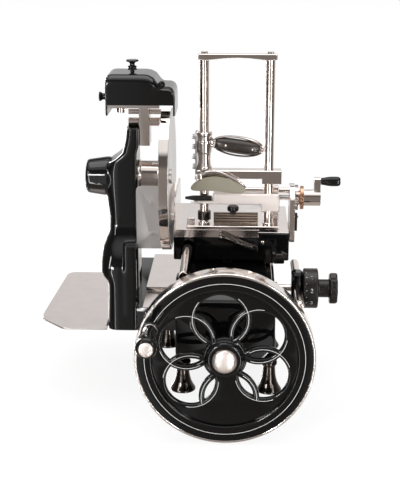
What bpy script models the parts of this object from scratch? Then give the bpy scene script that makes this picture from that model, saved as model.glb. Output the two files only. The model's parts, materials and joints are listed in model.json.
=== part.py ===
"""Hand-cranked flywheel meat slicer.

The spoked flywheel turns the round knife through a cross shaft and a chain in the column, and
a crank in the base pushes the meat carriage along its rods. Every place below is measured
from the middle of the flywheel's front face: X runs to the right, Y away from the operator's
view and Z up. The empty wheel_centre carries that frame to the slicer's own origin, which is
under the middle of the machine at table level.
"""
import math

import bmesh
import bpy
from mathutils import Vector

# Driving dimensions, in metres
WHEEL_RADIUS = 0.1625
WHEEL_DEPTH = 0.038
TABLE_CLEARANCE = 0.004
KNIFE_RADIUS = 0.1325
KNIFE_Y = 0.262
KNIFE_Z = 0.274
BASE_LEFT = -0.092
BASE_RIGHT = 0.091
BASE_FRONT = 0.068
BASE_REAR = 0.505
BASE_TOP = 0.100
PLINTH_BOTTOM = -0.104
PLINTH_FRONT = 0.228
CASTING_WALL = 0.007
COLUMN_LEFT = -0.231
COLUMN_RIGHT = -0.173
COLUMN_FRONT = 0.175
COLUMN_REAR = 0.300
WING_BOTTOM = -0.012
WING_TOP = 0.034
RING_MARGIN = 0.0095
RING_RADIUS = KNIFE_RADIUS + RING_MARGIN
RING_LEFT = -0.125
RING_RIGHT = -0.1075
CARRIAGE_LEFT = -0.105
CARRIAGE_RIGHT = 0.120
CARRIAGE_FRONT = 0.246
CARRIAGE_REAR = 0.450
CARRIAGE_BOTTOM = 0.110
CARRIAGE_TOP = 0.156
TOP_PLATE_THICKNESS = 0.008
GUIDE_ROD_RADIUS = 0.009
GUIDE_ROD_X = -0.077
GUIDE_ROD_Z = 0.1375
PRESS_ROD_RADIUS = 0.009
PRESS_ROD_Y = 0.262
LEFT_ROD_X = -0.0455
RIGHT_ROD_X = 0.0785
FEED_Y = 0.290
FEED_Z = 0.227
SHAFT_RADIUS = 0.011
CROSS_SHAFT_RADIUS = 0.008
CROSS_SHAFT_Y = 0.250
CRANK_Y = 0.170
CRANK_THROW = 0.070
CONNECTING_ROD_LENGTH = 0.175
CHAIN_X = -0.199
DIAL_Y = 0.147
DIAL_Z = 0.0885
COVER_THICKNESS = 0.003
TRAY_OVERLAP = 0.012
GUIDE_ROD_FRONT = 0.060
GUIDE_ROD_REAR = 0.500
RAIL_LEFT = 0.076
RAIL_WIDTH = 0.010
RAIL_TOP = 0.100
RAIL_THICKNESS = 0.006
RAIL_FRONT = 0.118
DECK_LEFT = -0.1615
BULKHEAD_TOP = 0.028
CRANK_DISC_BOTTOM = 0.038
CRANK_DISC_TOP = 0.046
CRANK_STUD_RADIUS = 0.008
LUG_HALF = 0.007
LUG_Y = CRANK_Y + CRANK_THROW + CONNECTING_ROD_LENGTH
CONNECTING_ROD_BOTTOM = 0.057
CONNECTING_ROD_THICKNESS = 0.008
CRANK_TEETH_BOTTOM = 0.034
LUG_PIN_RADIUS = 0.005
CHAIN_WIDTH = 0.008
CHAIN_THICKNESS = 0.005
SPROCKET_HALF = 0.003
LOWER_SPROCKET_RADIUS = 0.020
UPPER_SPROCKET_RADIUS = 0.016
PETAL_RADIUS = 0.050
PETAL_DISTANCE = 0.0756
PETAL_HUB_RADIUS = 0.040
RIB_HALF = 0.005
LENS_RIB = 0.006
SOLID_PETAL = 4
WHEEL_TURN = 6
HANDLE_X = 0.132
HANDLE_Z = 0.058
HANDLE_PIN_RADIUS = 0.006
HANDLE_LENGTH = 0.100
HANDLE_BOSS_HEIGHT = 0.004
HANDLE_COLLAR = 0.004
HANDLE_HEAD = 0.003
HUB_FRONT = 0.002
KNIFE_SHAFT_RADIUS = 0.0085
KNIFE_SHAFT_LEFT = -0.236
KNIFE_EDGE_X = -0.1075
KNIFE_DISH = 0.005
KNIFE_HUB = 0.008
GUARD_SCREW_X = -0.1445
COLUMN_SLAB_RIGHT = -0.169
SHARPENER_LEFT = -0.229
SHARPENER_RIGHT = -0.0985
SHARPENER_BASE_RIGHT = -0.128
SHARPENER_FRONT = 0.215
SHARPENER_REAR = 0.309
SHARPENER_RISE = 0.0135
SHARPENER_BASE = KNIFE_Z + KNIFE_RADIUS + SHARPENER_RISE
SHARPENER_SHEET = 0.006
HOOD_WALL = 0.004
HOOD_CORNER = 0.018
HOOD_FLAP = 0.020
HOOD_HEIGHT = 0.055
SHARPENER_TOP = SHARPENER_BASE + HOOD_HEIGHT
COLUMN_DROP = 0.048
COLUMN_TOP = SHARPENER_BASE - COLUMN_DROP
COLUMN_SHOULDER = 0.170
NECK_FRONT = 0.222
NECK_START = 0.150
SHARPENER_KNOB_X = -0.1815
STONE_Y = KNIFE_Y
STONE_RISE = 0.012
HONE_SETBACK = 0.0285
STONE_PLACE = (STONE_Y, SHARPENER_BASE + STONE_RISE)
HONE_PLACE = (STONE_Y + HONE_SETBACK, SHARPENER_BASE + STONE_RISE)
STEM_RADIUS = 0.004
SPINDLE_RADIUS = 0.003
SIDE_KNOB_RISE = 0.0085
SIDE_KNOB_Z = SHARPENER_BASE + SIDE_KNOB_RISE
LOWER_SHAFT_RADIUS = 0.0083
PLATE_RIGHT = 0.061
PLATE_TOP = 0.172
APRON = 0.005
LUG_BOTTOM = 0.0656
ROLLER_RADIUS = 0.009
ROLLER_WIDTH = 0.008
ROLLER_AXLE = 0.0025
ROLLER_LEFT = 0.077
ROLLER_Y = 0.336
ROLLER_Z = RAIL_TOP + 0.0003 + ROLLER_RADIUS
LEVER_X = 0.052
LEVER_Z = 0.138
LEVER_RADIUS = 0.007
LEVER_PIN = 0.003
BRACKET_RIGHT = 0.1305
GUIDE_BAR_Z = 0.241
GUIDE_BAR_RADIUS = 0.0055
GUIDE_BAR_LEFT = 0.030
PAWL_Z = 0.188
PAWL_PIN = 0.0025
FEED_SCREW_RADIUS = 0.0055
FEED_SCREW_LEFT = -0.010
FEED_SCREW_RIGHT = 0.160
FEED_CRANK_THROW = 0.033
FEED_SPINDLE = 0.003
FEED_GRIP_END = 0.219
TABLE_TOP = 0.179
PRESS_TOP = 0.499
GRIP_Z = 0.335
GRIP_CORE = 0.0035
LEAF_X = -0.056
LEAF_Z = 0.278
LEAF_FRONT = 0.243
LEAF_PIN = 0.003
CAM_ROD_X = 0.134
DIAL_LEFT = 0.144
DIAL_POST = 0.007
DIAL_POST_END = 0.180
FOOT_PLACES = {
    "foot_front_left": (-0.088, 0.250),
    "foot_front_right": (0.086, 0.250),
    "foot_rear_left": (-0.134, 0.490),
    "foot_rear_right": (0.088, 0.490),
}

# Clearances
SEAT_GAP = 0.0003
RUNNING_GAP = 0.0004
SLIDING_GAP = 0.0006
GEAR_GAP = 0.0008
OVERRUN = 0.004

# The frame of the drawing: where the wheel's centre lies above the slicer's own origin
WHEEL_X = 0.0745
WHEEL_Y = -0.215
SHAFT_HEIGHT = WHEEL_RADIUS + TABLE_CLEARANCE
TABLE_Z = -SHAFT_HEIGHT

# Finishes: colour, roughness, metallic
GLOSS_BLACK = ((0.012, 0.012, 0.013), 0.12, 0.0)
DARK_IRON = ((0.060, 0.058, 0.056), 0.45, 0.8)
NICKEL = ((0.78, 0.72, 0.69), 0.12, 1.0)
STEEL = ((0.62, 0.60, 0.58), 0.28, 1.0)
WARM_STEEL = ((0.80, 0.72, 0.68), 0.16, 1.0)
BRUSHED = ((0.66, 0.65, 0.63), 0.38, 1.0)
BLACKENED = ((0.030, 0.028, 0.027), 0.30, 0.6)
BRASS = ((0.62, 0.38, 0.24), 0.30, 1.0)
STONE = ((0.36, 0.22, 0.15), 0.85, 0.0)
GRIP_BLACK = ((0.015, 0.014, 0.014), 0.22, 0.0)


def clear_scene():
    """Empty the file before the slicer is built."""
    for thing in list(bpy.data.objects):
        bpy.data.objects.remove(thing)


def pivot(name, place, parent=None):
    """An empty at a joint's axis, placed in the wheel's frame."""
    empty = bpy.data.objects.new(name, None)
    bpy.context.scene.collection.objects.link(empty)
    empty.location = place
    if parent is not None:
        empty.parent = parent
        empty.location = Vector(place) - frame_place(parent)
    return empty


def frame_place(empty):
    """Where an empty lies in the wheel's frame."""
    place = Vector((0, 0, 0))
    while empty.parent is not None:
        place += empty.location
        empty = empty.parent
    return place


def solid(name, body, place):
    """Make an object of a bmesh, with its faces pointing out, at a place in the wheel's frame."""
    bmesh.ops.recalc_face_normals(body, faces=body.faces)
    mesh = bpy.data.meshes.new(name)
    body.to_mesh(mesh)
    body.free()
    thing = bpy.data.objects.new(name, mesh)
    bpy.context.scene.collection.objects.link(thing)
    thing.location = place
    return thing


def rounded(body, width, segments=2):
    """Round every sharp edge of a bmesh."""
    if width > 0:
        sharp = [edge for edge in body.edges if edge.calc_face_angle(0) > math.radians(25)]
        bmesh.ops.bevel(body, geom=sharp, offset=width, segments=segments, profile=0.5,
                        affect="EDGES", clamp_overlap=True)


def block(name, low, high, edge=0, segments=1):
    """A box between two corners, its edges rounded."""
    low = Vector(low)
    high = Vector(high)
    size = high - low
    body = bmesh.new()
    bmesh.ops.create_cube(body, size=1)
    bmesh.ops.scale(body, vec=size, verts=body.verts)
    rounded(body, edge, segments)
    return solid(name, body, (low + high) / 2)


def turned(name, start, toward, profile, steps=24, closed=False):
    """Turn a profile of (radius, distance) pairs round the axis that leaves start."""
    body = bmesh.new()
    row = [body.verts.new((radius, 0, along)) for radius, along in profile]
    pairs = list(zip(row, row[1:]))
    if closed:
        pairs.append((row[-1], row[0]))
    edges = [body.edges.new(pair) for pair in pairs]
    bmesh.ops.spin(body, geom=row + edges, cent=(0, 0, 0), axis=(0, 0, 1), angle=math.tau,
                   steps=steps, use_merge=True)
    bmesh.ops.remove_doubles(body, verts=body.verts, dist=0.000001)
    thing = solid(name, body, start)
    thing.rotation_mode = "QUATERNION"
    thing.rotation_quaternion = Vector((0, 0, 1)).rotation_difference(Vector(toward))
    return thing


def rod(name, start, end, radius, steps=20, chamfer=0):
    """A round bar from start to end."""
    length = (Vector(end) - Vector(start)).length
    if chamfer > 0:
        profile = [(0, 0), (radius - chamfer, 0), (radius, chamfer), (radius, length - chamfer),
                   (radius - chamfer, length), (0, length)]
    else:
        profile = [(0, 0), (radius, 0), (radius, length), (0, length)]
    return turned(name, start, Vector(end) - Vector(start), profile, steps)


def tube(name, start, end, outer, inner, steps=24):
    """A round tube from start to end."""
    length = (Vector(end) - Vector(start)).length
    profile = [(outer, 0), (outer, length), (inner, length), (inner, 0)]
    return turned(name, start, Vector(end) - Vector(start), profile, steps, closed=True)


PLANES = {
    "XZ": (lambda across, up, depth: (across, depth, up)),
    "YZ": (lambda across, up, depth: (depth, across, up)),
    "XY": (lambda across, up, depth: (across, up, depth)),
}


def plate(name, plane, outline, near, far, edge=0, segments=1):
    """An outline drawn in a plane, made solid from near to far along the plane's normal."""
    where = PLANES[plane]
    body = bmesh.new()
    ring = [body.verts.new(where(across, up, near)) for across, up in outline]
    face = body.faces.new(ring)
    grown = bmesh.ops.extrude_face_region(body, geom=[face])
    moved = [item for item in grown["geom"] if isinstance(item, bmesh.types.BMVert)]
    bmesh.ops.translate(body, vec=where(0, 0, far - near), verts=moved)
    rounded(body, edge, segments)
    middle = sum((vert.co for vert in body.verts), Vector((0, 0, 0))) / len(body.verts)
    bmesh.ops.translate(body, vec=-middle, verts=body.verts)
    return solid(name, body, middle)


def arc(centre, radius, start, end, steps):
    """Points on an arc, from one angle to another, in degrees."""
    points = []
    for step in range(steps + 1):
        angle = math.radians(start + (end - start) * step / steps)
        points.append((centre[0] + radius * math.cos(angle), centre[1] + radius * math.sin(angle)))
    return points


def combine(thing, tool, operation):
    """Apply a Boolean of tool to thing, and take tool away."""
    step = thing.modifiers.new(operation, "BOOLEAN")
    step.object = tool
    step.operation = operation
    step.solver = "EXACT"
    bpy.context.view_layer.update()
    depsgraph = bpy.context.evaluated_depsgraph_get()
    mesh = bpy.data.meshes.new_from_object(thing.evaluated_get(depsgraph))
    thing.modifiers.clear()
    thing.data = mesh
    bpy.data.objects.remove(tool)


def cut(thing, *tools):
    """Cut each tool out of thing."""
    for tool in tools:
        combine(thing, tool, "DIFFERENCE")


def fuse(thing, *others):
    """Join the others to thing as one body."""
    for other in others:
        combine(thing, other, "UNION")


def finish(thing, look, parent, smooth=35):
    """Give a piece its own material, smooth its round faces and hang it on its carrier."""
    colour, roughness, metallic = look
    paint = bpy.data.materials.new(thing.name)
    paint.use_nodes = True
    shader = paint.node_tree.nodes["Principled BSDF"]
    shader.inputs["Base Color"].default_value = (*colour, 1)
    shader.inputs["Roughness"].default_value = roughness
    shader.inputs["Metallic"].default_value = metallic
    thing.data.materials.clear()
    thing.data.materials.append(paint)
    thing.data.shade_smooth()
    thing.data.set_sharp_from_angle(angle=math.radians(smooth))
    thing.location = thing.location - frame_place(parent)
    thing.parent = parent
    return thing


def base_casting(root):
    """The hollow base, open below, with its plinth, wing, rod posts and inner bearings."""
    roof = 0.014
    nose_round = 0.045
    nose_bottom = -0.024
    corner = (BASE_FRONT + nose_round, BASE_TOP - nose_round)
    side = [(BASE_FRONT, nose_bottom)] + arc(corner, nose_round, 180, 90, 6)
    side += [(BASE_REAR, BASE_TOP), (BASE_REAR, PLINTH_BOTTOM), (PLINTH_FRONT, PLINTH_BOTTOM)]
    casting = plate("base_casting", "YZ", side, BASE_LEFT, BASE_RIGHT, 0.003)

    lip = 0.010
    flange_height = 0.012
    flange = block("flange", (BASE_LEFT - lip, PLINTH_FRONT + lip, PLINTH_BOTTOM),
                   (BASE_RIGHT + lip, BASE_REAR + lip, PLINTH_BOTTOM + flange_height))
    foot_x, foot_y = FOOT_PLACES["foot_rear_left"]
    reach = 0.018
    arm_height = 0.022
    arm = block("arm", (foot_x - reach, foot_y - reach, PLINTH_BOTTOM),
                (BASE_LEFT + lip / 2, foot_y + reach, PLINTH_BOTTOM + arm_height), 0.003)
    rear_ledge = 0.006
    wing_rear = 0.500
    wing_front = COLUMN_FRONT + 0.001
    behind_column = COLUMN_REAR + COVER_THICKNESS + 2 * SEAT_GAP
    wing = block("wing", (COLUMN_RIGHT + SEAT_GAP, wing_front, WING_BOTTOM),
                 (BASE_LEFT + CASTING_WALL / 2, wing_rear, WING_TOP))
    rear_wing = block("rear_wing", (COLUMN_LEFT, behind_column, WING_BOTTOM),
                      (COLUMN_RIGHT + lip, wing_rear, WING_TOP))
    ledge = block("ledge", (COLUMN_LEFT - TRAY_OVERLAP, behind_column + lip,
                            WING_BOTTOM - rear_ledge),
                  (COLUMN_LEFT + lip, wing_rear - lip, WING_BOTTOM + rear_ledge / 2))
    tray_room = block("tray_room", (COLUMN_LEFT - TRAY_OVERLAP - OVERRUN, behind_column,
                                    WING_BOTTOM - SEAT_GAP),
                      (COLUMN_LEFT, wing_rear, WING_BOTTOM + rear_ledge))
    fuse(casting, flange, arm, wing, rear_wing)

    inner = [(BASE_FRONT + roof, PLINTH_BOTTOM - OVERRUN)]
    inner += arc(corner, nose_round - roof, 180, 90, 6)
    inner += [(BASE_REAR - CASTING_WALL, BASE_TOP - roof),
              (BASE_REAR - CASTING_WALL, PLINTH_BOTTOM - OVERRUN)]
    cavity = plate("cavity", "YZ", inner, BASE_LEFT + CASTING_WALL, BASE_RIGHT - CASTING_WALL)
    wing_cavity = block("wing_cavity", (COLUMN_RIGHT + CASTING_WALL, wing_front + CASTING_WALL,
                                        WING_BOTTOM - OVERRUN),
                        (BASE_LEFT - CASTING_WALL / 2, wing_rear - CASTING_WALL,
                         WING_TOP - CASTING_WALL))
    rear_cavity = block("rear_cavity", (COLUMN_LEFT + CASTING_WALL, behind_column + CASTING_WALL,
                                        WING_BOTTOM - OVERRUN),
                        (COLUMN_RIGHT + lip + OVERRUN, wing_rear - CASTING_WALL,
                         WING_TOP - CASTING_WALL))
    cut(casting, cavity, wing_cavity, rear_cavity)
    fuse(casting, ledge)
    cut(casting, tray_room)

    post_width = 0.026
    post_left = GUIDE_ROD_X - post_width / 2
    post_right = GUIDE_ROD_X + post_width / 2
    post_top = GUIDE_ROD_Z - GUIDE_ROD_RADIUS / 2
    front_post = block("front_post", (post_left, GUIDE_ROD_FRONT + lip, BASE_TOP - nose_round),
                       (post_right, GUIDE_ROD_FRONT + lip + post_width, post_top), 0.002)
    rear_post = block("rear_post", (post_left, GUIDE_ROD_REAR - post_width, BASE_TOP - lip / 2),
                      (post_right, GUIDE_ROD_REAR - OVERRUN, post_top), 0.002)
    bulkhead_half = 0.006
    bulkhead_bottom = -0.050
    bulkhead = block("bulkhead", (BASE_LEFT + CASTING_WALL / 2, CRANK_Y - bulkhead_half,
                                  bulkhead_bottom),
                     (BASE_RIGHT - CASTING_WALL / 2, CRANK_Y + bulkhead_half, BULKHEAD_TOP))
    stud = rod("stud", (0, CRANK_Y, BULKHEAD_TOP - OVERRUN), (0, CRANK_Y, CRANK_DISC_TOP),
               CRANK_STUD_RADIUS, 16)
    boss_radius = 0.021
    boss_reach = 0.026
    boss_inside = 0.019
    boss = rod("boss", (0, BASE_FRONT - boss_reach, 0), (0, BASE_FRONT + boss_inside, 0),
               boss_radius, 28)
    side_boss_radius = 0.015
    side_boss = rod("side_boss", (BASE_LEFT + CASTING_WALL / 2, CROSS_SHAFT_Y, 0),
                    (BASE_LEFT + boss_reach, CROSS_SHAFT_Y, 0), side_boss_radius, 20)
    fuse(casting, front_post, rear_post, bulkhead, stud, boss, side_boss)

    shaft_bore = rod("shaft_bore", (0, BASE_FRONT - boss_reach - OVERRUN, 0),
                     (0, CRANK_Y + bulkhead_half + OVERRUN, 0), SHAFT_RADIUS + RUNNING_GAP, 20)
    cross_bore = rod("cross_bore", (COLUMN_RIGHT - OVERRUN, CROSS_SHAFT_Y, 0),
                     (BASE_LEFT + boss_reach + OVERRUN, CROSS_SHAFT_Y, 0),
                     CROSS_SHAFT_RADIUS + RUNNING_GAP, 20)
    rod_seat = rod("rod_seat", (GUIDE_ROD_X, GUIDE_ROD_FRONT - OVERRUN, GUIDE_ROD_Z),
                   (GUIDE_ROD_X, GUIDE_ROD_REAR + OVERRUN, GUIDE_ROD_Z),
                   GUIDE_ROD_RADIUS + SEAT_GAP, 20)
    rail_step = block("rail_step", (RAIL_LEFT - SEAT_GAP, BASE_FRONT - OVERRUN,
                                    RAIL_TOP - RAIL_THICKNESS - SEAT_GAP),
                      (BASE_RIGHT + OVERRUN, BASE_REAR + OVERRUN, BASE_TOP + OVERRUN))
    slot_half = LUG_HALF + 0.002
    slot_front = LUG_Y - 2 * CRANK_THROW - slot_half - OVERRUN
    slot = block("slot", (-slot_half, slot_front, BASE_TOP - roof - OVERRUN),
                 (slot_half, LUG_Y + slot_half + OVERRUN, BASE_TOP + OVERRUN))
    cut(casting, shaft_bore, cross_bore, rod_seat, rail_step, slot)
    return finish(casting, GLOSS_BLACK, root)


def foot(name, root):
    """One bell-shaped foot under the plinth."""
    bottom_radius = 0.0255
    rim_height = 0.005
    neck_radius = 0.0125
    height = PLINTH_BOTTOM - SEAT_GAP - TABLE_Z
    flare_share = 0.30
    waist_share = 0.62
    cap_radius = 0.016
    cap_height = 0.006
    profile = [(0, 0), (bottom_radius, 0), (bottom_radius, rim_height),
               (bottom_radius * 0.78, height * flare_share / 2 + rim_height),
               (neck_radius * 1.15, height * flare_share + rim_height * 2),
               (neck_radius, height * waist_share), (neck_radius, height - cap_height),
               (cap_radius, height - cap_height / 2), (cap_radius, height), (0, height)]
    place_x, place_y = FOOT_PLACES[name]
    piece = turned(name, (place_x, place_y, TABLE_Z), (0, 0, 1), profile, 16)
    return finish(piece, DARK_IRON, root)


def right_rail(root):
    """The polished strip that the carriage's roller runs on."""
    strip = block("right_rail", (RAIL_LEFT, RAIL_FRONT, RAIL_TOP - RAIL_THICKNESS),
                  (RAIL_LEFT + RAIL_WIDTH, BASE_REAR - OVERRUN, RAIL_TOP), 0.0008)
    return finish(strip, NICKEL, root)


def left_guide_rod(root):
    """The round rod that the carriage slides on."""
    chamfer = 0.0015
    piece = rod("left_guide_rod", (GUIDE_ROD_X, GUIDE_ROD_FRONT, GUIDE_ROD_Z),
                (GUIDE_ROD_X, GUIDE_ROD_REAR, GUIDE_ROD_Z), GUIDE_ROD_RADIUS, 20, chamfer)
    return finish(piece, NICKEL, root)


def receiving_deck(root):
    """The bent sheet of polished steel that slices fall on."""
    sheet = 0.002
    riser_y = 0.269
    rise = 0.009
    rear = 0.490
    low = WING_TOP + SEAT_GAP
    high = low + rise
    front = COLUMN_FRONT
    outline = [(front, low), (riser_y + sheet, low), (riser_y + sheet, high),
               (rear - sheet, high), (rear - sheet, low), (rear, low), (rear, high + sheet),
               (riser_y, high + sheet), (riser_y, low + sheet), (front, low + sheet)]
    piece = plate("receiving_deck", "YZ", outline, DECK_LEFT, BASE_LEFT - SEAT_GAP)
    return finish(piece, WARM_STEEL, root)


def slice_tray(root):
    """The flat tray at the left, with a raised edge along the column."""
    sheet = 0.0025
    lip_height = 0.010
    lip_width = 0.004
    right = COLUMN_LEFT - SEAT_GAP
    rear = 0.524
    front_left = -0.340
    left = -0.368
    rear_left = -0.358
    widest_y = 0.242
    corner = 0.030
    rear_corner = 0.018
    outline = [(right, COLUMN_FRONT), (right, rear)]
    outline += arc((rear_left + rear_corner, rear - rear_corner), rear_corner, 90, 180, 3)
    outline += [(left, widest_y + corner)]
    outline += arc((left + corner, widest_y), corner, 180, 225, 2)
    outline += arc((front_left + corner, COLUMN_FRONT + corner / 2), corner / 2, 225, 270, 2)
    piece = plate("slice_tray", "XY", outline, WING_BOTTOM, WING_BOTTOM + sheet)
    lip = block("lip", (right - lip_width, COLUMN_FRONT + OVERRUN, WING_BOTTOM + sheet / 2),
                (right, rear - OVERRUN, WING_BOTTOM + lip_height), 0.001)
    fuse(piece, lip)
    return finish(piece, WARM_STEEL, root)


def circles_meet(first, first_radius, second, second_radius):
    """The two points where two circles cross."""
    first = Vector(first)
    span = Vector(second) - first
    distance = span.length
    along = (first_radius ** 2 - second_radius ** 2 + distance ** 2) / (2 * distance)
    aside = math.sqrt(first_radius ** 2 - along ** 2)
    middle = first + span * along / distance
    normal = Vector((-span.y, span.x)) / distance
    return middle + normal * aside, middle - normal * aside


def short_arc(centre, start, end, steps):
    """The shorter arc round a centre from one point to another, without its last point."""
    first = math.degrees(math.atan2(start[1] - centre[1], start[0] - centre[0]))
    last = math.degrees(math.atan2(end[1] - centre[1], end[0] - centre[0]))
    turn = (last - first + 180) % 360 - 180
    radius = (Vector(start) - Vector(centre)).length
    return arc(centre, radius, first, first + turn, steps)[:-1]


def petal_centre(number):
    """The centre of one of the six petal circles, counted from the one at 30 degrees."""
    angle = math.radians(30 + 60 * number)
    return Vector((PETAL_DISTANCE * math.cos(angle), PETAL_DISTANCE * math.sin(angle)))


def petal_opening(number):
    """Outline of a petal's opening, between its own rim, its neighbours and the hub."""
    own = petal_centre(number)
    before = petal_centre(number - 1)
    after = petal_centre(number + 1)
    inside = PETAL_RADIUS - RIB_HALF
    outside = PETAL_RADIUS + RIB_HALF
    hub = PETAL_HUB_RADIUS
    far_after = max(circles_meet(own, inside, after, outside), key=lambda point: point.length)
    far_before = max(circles_meet(own, inside, before, outside), key=lambda point: point.length)
    near_after = min(circles_meet((0, 0), hub, after, outside),
                     key=lambda point: (point - own).length)
    near_before = min(circles_meet((0, 0), hub, before, outside),
                      key=lambda point: (point - own).length)
    far = own * (PETAL_DISTANCE + inside) / PETAL_DISTANCE
    outline = short_arc(own, far_before, far, 5) + short_arc(own, far, far_after, 5)
    outline += short_arc(after, far_after, near_after, 4)
    outline += short_arc((0, 0), near_after, near_before, 2)
    outline += short_arc(before, near_before, far_before, 4)
    return outline


def lens_opening(number):
    """Outline of the narrow opening where a petal circle crosses the next one."""
    first = petal_centre(number)
    second = petal_centre(number + 1)
    radius = PETAL_RADIUS - LENS_RIB
    outer, inner = circles_meet(first, radius, second, radius)
    return short_arc(first, outer, inner, 4) + short_arc(second, inner, outer, 4)


def flywheel(carrier):
    """The spoked wheel: rim, web with its petal openings, hub and the handle's boss."""
    face_inner = 0.129
    tread = 0.0095
    face_depth = 0.012
    web_front = 0.007
    web_back = 0.019
    hub_radius = 0.033
    hub_front = HUB_FRONT
    hub_back = 0.040
    bore = SHAFT_RADIUS + SEAT_GAP
    profile = [(bore, -hub_front), (hub_radius, -hub_front), (hub_radius, web_front),
               (face_inner, web_front), (face_inner, 0), (WHEEL_RADIUS, 0),
               (WHEEL_RADIUS, WHEEL_DEPTH), (WHEEL_RADIUS - tread, WHEEL_DEPTH),
               (WHEEL_RADIUS - tread, web_front + face_depth), (hub_radius, web_back),
               (hub_radius, hub_back), (bore, hub_back)]
    wheel = turned("flywheel", (0, 0, 0), (0, 1, 0), profile, 48, closed=True)

    boss_radius = 0.015
    boss_height = HANDLE_BOSS_HEIGHT
    boss_place = Vector((-HANDLE_X, 0, HANDLE_Z))
    boss = rod("handle_boss", boss_place + Vector((0, web_front, 0)),
               boss_place - Vector((0, boss_height, 0)), boss_radius, 20)
    fuse(wheel, boss)
    turn = math.radians(WHEEL_TURN)
    for number in range(6):
        shapes = [lens_opening(number)]
        if number != SOLID_PETAL:
            shapes.append(petal_opening(number))
        for shape in shapes:
            turned_shape = [(x * math.cos(turn) - y * math.sin(turn),
                             x * math.sin(turn) + y * math.cos(turn)) for x, y in shape]
            cut(wheel, plate("opening", "XZ", turned_shape, web_front - OVERRUN,
                             web_back + OVERRUN))
    pin_hole = rod("pin_hole", boss_place - Vector((0, boss_height + OVERRUN, 0)),
                   boss_place + Vector((0, web_back + OVERRUN, 0)),
                   HANDLE_PIN_RADIUS + SEAT_GAP, 16)
    cut(wheel, pin_hole)
    return finish(wheel, GLOSS_BLACK, carrier)


def flywheel_hub_cap(carrier):
    """The domed cap over the end of the shaft."""
    radius = 0.022
    edge = 0.003
    dome = 0.010
    seat = HUB_FRONT + SEAT_GAP
    profile = [(0, 0), (radius, 0), (radius, edge)]
    profile += [(radius * math.cos(math.radians(angle)), edge + dome * math.sin(math.radians(angle)))
                for angle in (25, 50, 70)]
    profile += [(0, edge + dome)]
    cap = turned("flywheel_hub_cap", (0, -seat, 0), (0, -1, 0), profile, 20)
    return finish(cap, NICKEL, carrier)


def gear_disc(name, start, toward, bore, root_radius, tip_radius, width, teeth):
    """A toothed disc with a bore."""
    body = turned(name, start, toward, [(root_radius, 0), (root_radius, width), (bore, width),
                                        (bore, 0)], teeth * 2, closed=True)
    tooth = bmesh.new()
    tooth.from_mesh(body.data)
    outside = [face for face in tooth.faces
               if face.normal.z ** 2 < 0.1 and face.calc_center_median().xy.length > bore * 1.2]
    outside.sort(key=lambda face: math.atan2(face.calc_center_median().y,
                                             face.calc_center_median().x))
    raised = outside[::2]
    for face in raised:
        grown = bmesh.ops.extrude_discrete_faces(tooth, faces=[face])["faces"][0]
        shift = face_out(grown) * (tip_radius - root_radius)
        bmesh.ops.translate(tooth, vec=shift, verts=grown.verts)
    tooth.to_mesh(body.data)
    tooth.free()
    return body


def face_out(face):
    """The way a side face of a turned disc looks out from its axis."""
    middle = face.calc_center_median()
    return Vector((middle.x, middle.y, 0)).normalized()


def flywheel_shaft(carrier):
    """The main shaft with the drive pinion and the bevel wheel that it carries."""
    front = 0.001
    pinion_front = 0.092
    pinion_width = 0.012
    pinion_root = 0.029
    pinion_tip = CRANK_TEETH_BOTTOM - GEAR_GAP
    wheel_front = 0.221
    wheel_width = 0.009
    wheel_root = 0.026
    wheel_tip = 0.030
    rear = CROSS_SHAFT_Y - CROSS_SHAFT_RADIUS - 2 * GEAR_GAP
    shaft = rod("flywheel_shaft", (0, front, 0), (0, wheel_front + wheel_width, 0),
                SHAFT_RADIUS, 20, 0.001)
    inner = SHAFT_RADIUS / 2
    pinion = gear_disc("pinion", (0, pinion_front, 0), (0, 1, 0), inner, pinion_root,
                       pinion_tip, pinion_width, 11)
    bevel_wheel = gear_disc("bevel_wheel", (0, wheel_front, 0), (0, 1, 0), inner, wheel_root,
                            wheel_tip, wheel_width, 11)
    fuse(shaft, pinion, bevel_wheel)
    return finish(shaft, STEEL, carrier)


def handle_spindle(carrier):
    """The pin of the handle, with the bright head let into the grip's end."""
    head_radius = 0.013
    head = HANDLE_HEAD
    collar_radius = 0.012
    collar = HANDLE_COLLAR
    boss_height = HANDLE_BOSS_HEIGHT
    root_end = 0.016
    front = HANDLE_LENGTH
    profile = [(0, -root_end), (HANDLE_PIN_RADIUS, -root_end), (HANDLE_PIN_RADIUS,
                                                               boss_height + SEAT_GAP),
               (collar_radius, boss_height + SEAT_GAP), (collar_radius, boss_height + collar),
               (HANDLE_PIN_RADIUS, boss_height + collar), (HANDLE_PIN_RADIUS, front - head),
               (head_radius, front - head), (head_radius, front - head / 2),
               (head_radius * 0.8, front), (0, front)]
    pin = turned("handle_spindle", (-HANDLE_X, 0, HANDLE_Z), (0, -1, 0), profile, 14)
    return finish(pin, NICKEL, carrier)


def handle_grip(carrier):
    """The black grip that turns on the handle's pin."""
    start = HANDLE_BOSS_HEIGHT + HANDLE_COLLAR + RUNNING_GAP
    end = HANDLE_LENGTH - HANDLE_HEAD - RUNNING_GAP
    bore = HANDLE_PIN_RADIUS + RUNNING_GAP
    length = end - start
    widest = 0.0195
    shares = [(0.60, 0.0), (0.66, 0.10), (0.64, 0.30), (0.74, 0.55), (0.92, 0.78),
              (1.00, 0.90), (0.95, 0.97), (0.74, 1.0)]
    profile = [(widest * radius_share, start + length * along_share)
               for radius_share, along_share in shares]
    profile += [(bore, end), (bore, start)]
    grip = turned("handle_grip", (-HANDLE_X, 0, HANDLE_Z), (0, -1, 0), profile, 16, closed=True)
    return finish(grip, GRIP_BLACK, carrier)


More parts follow.
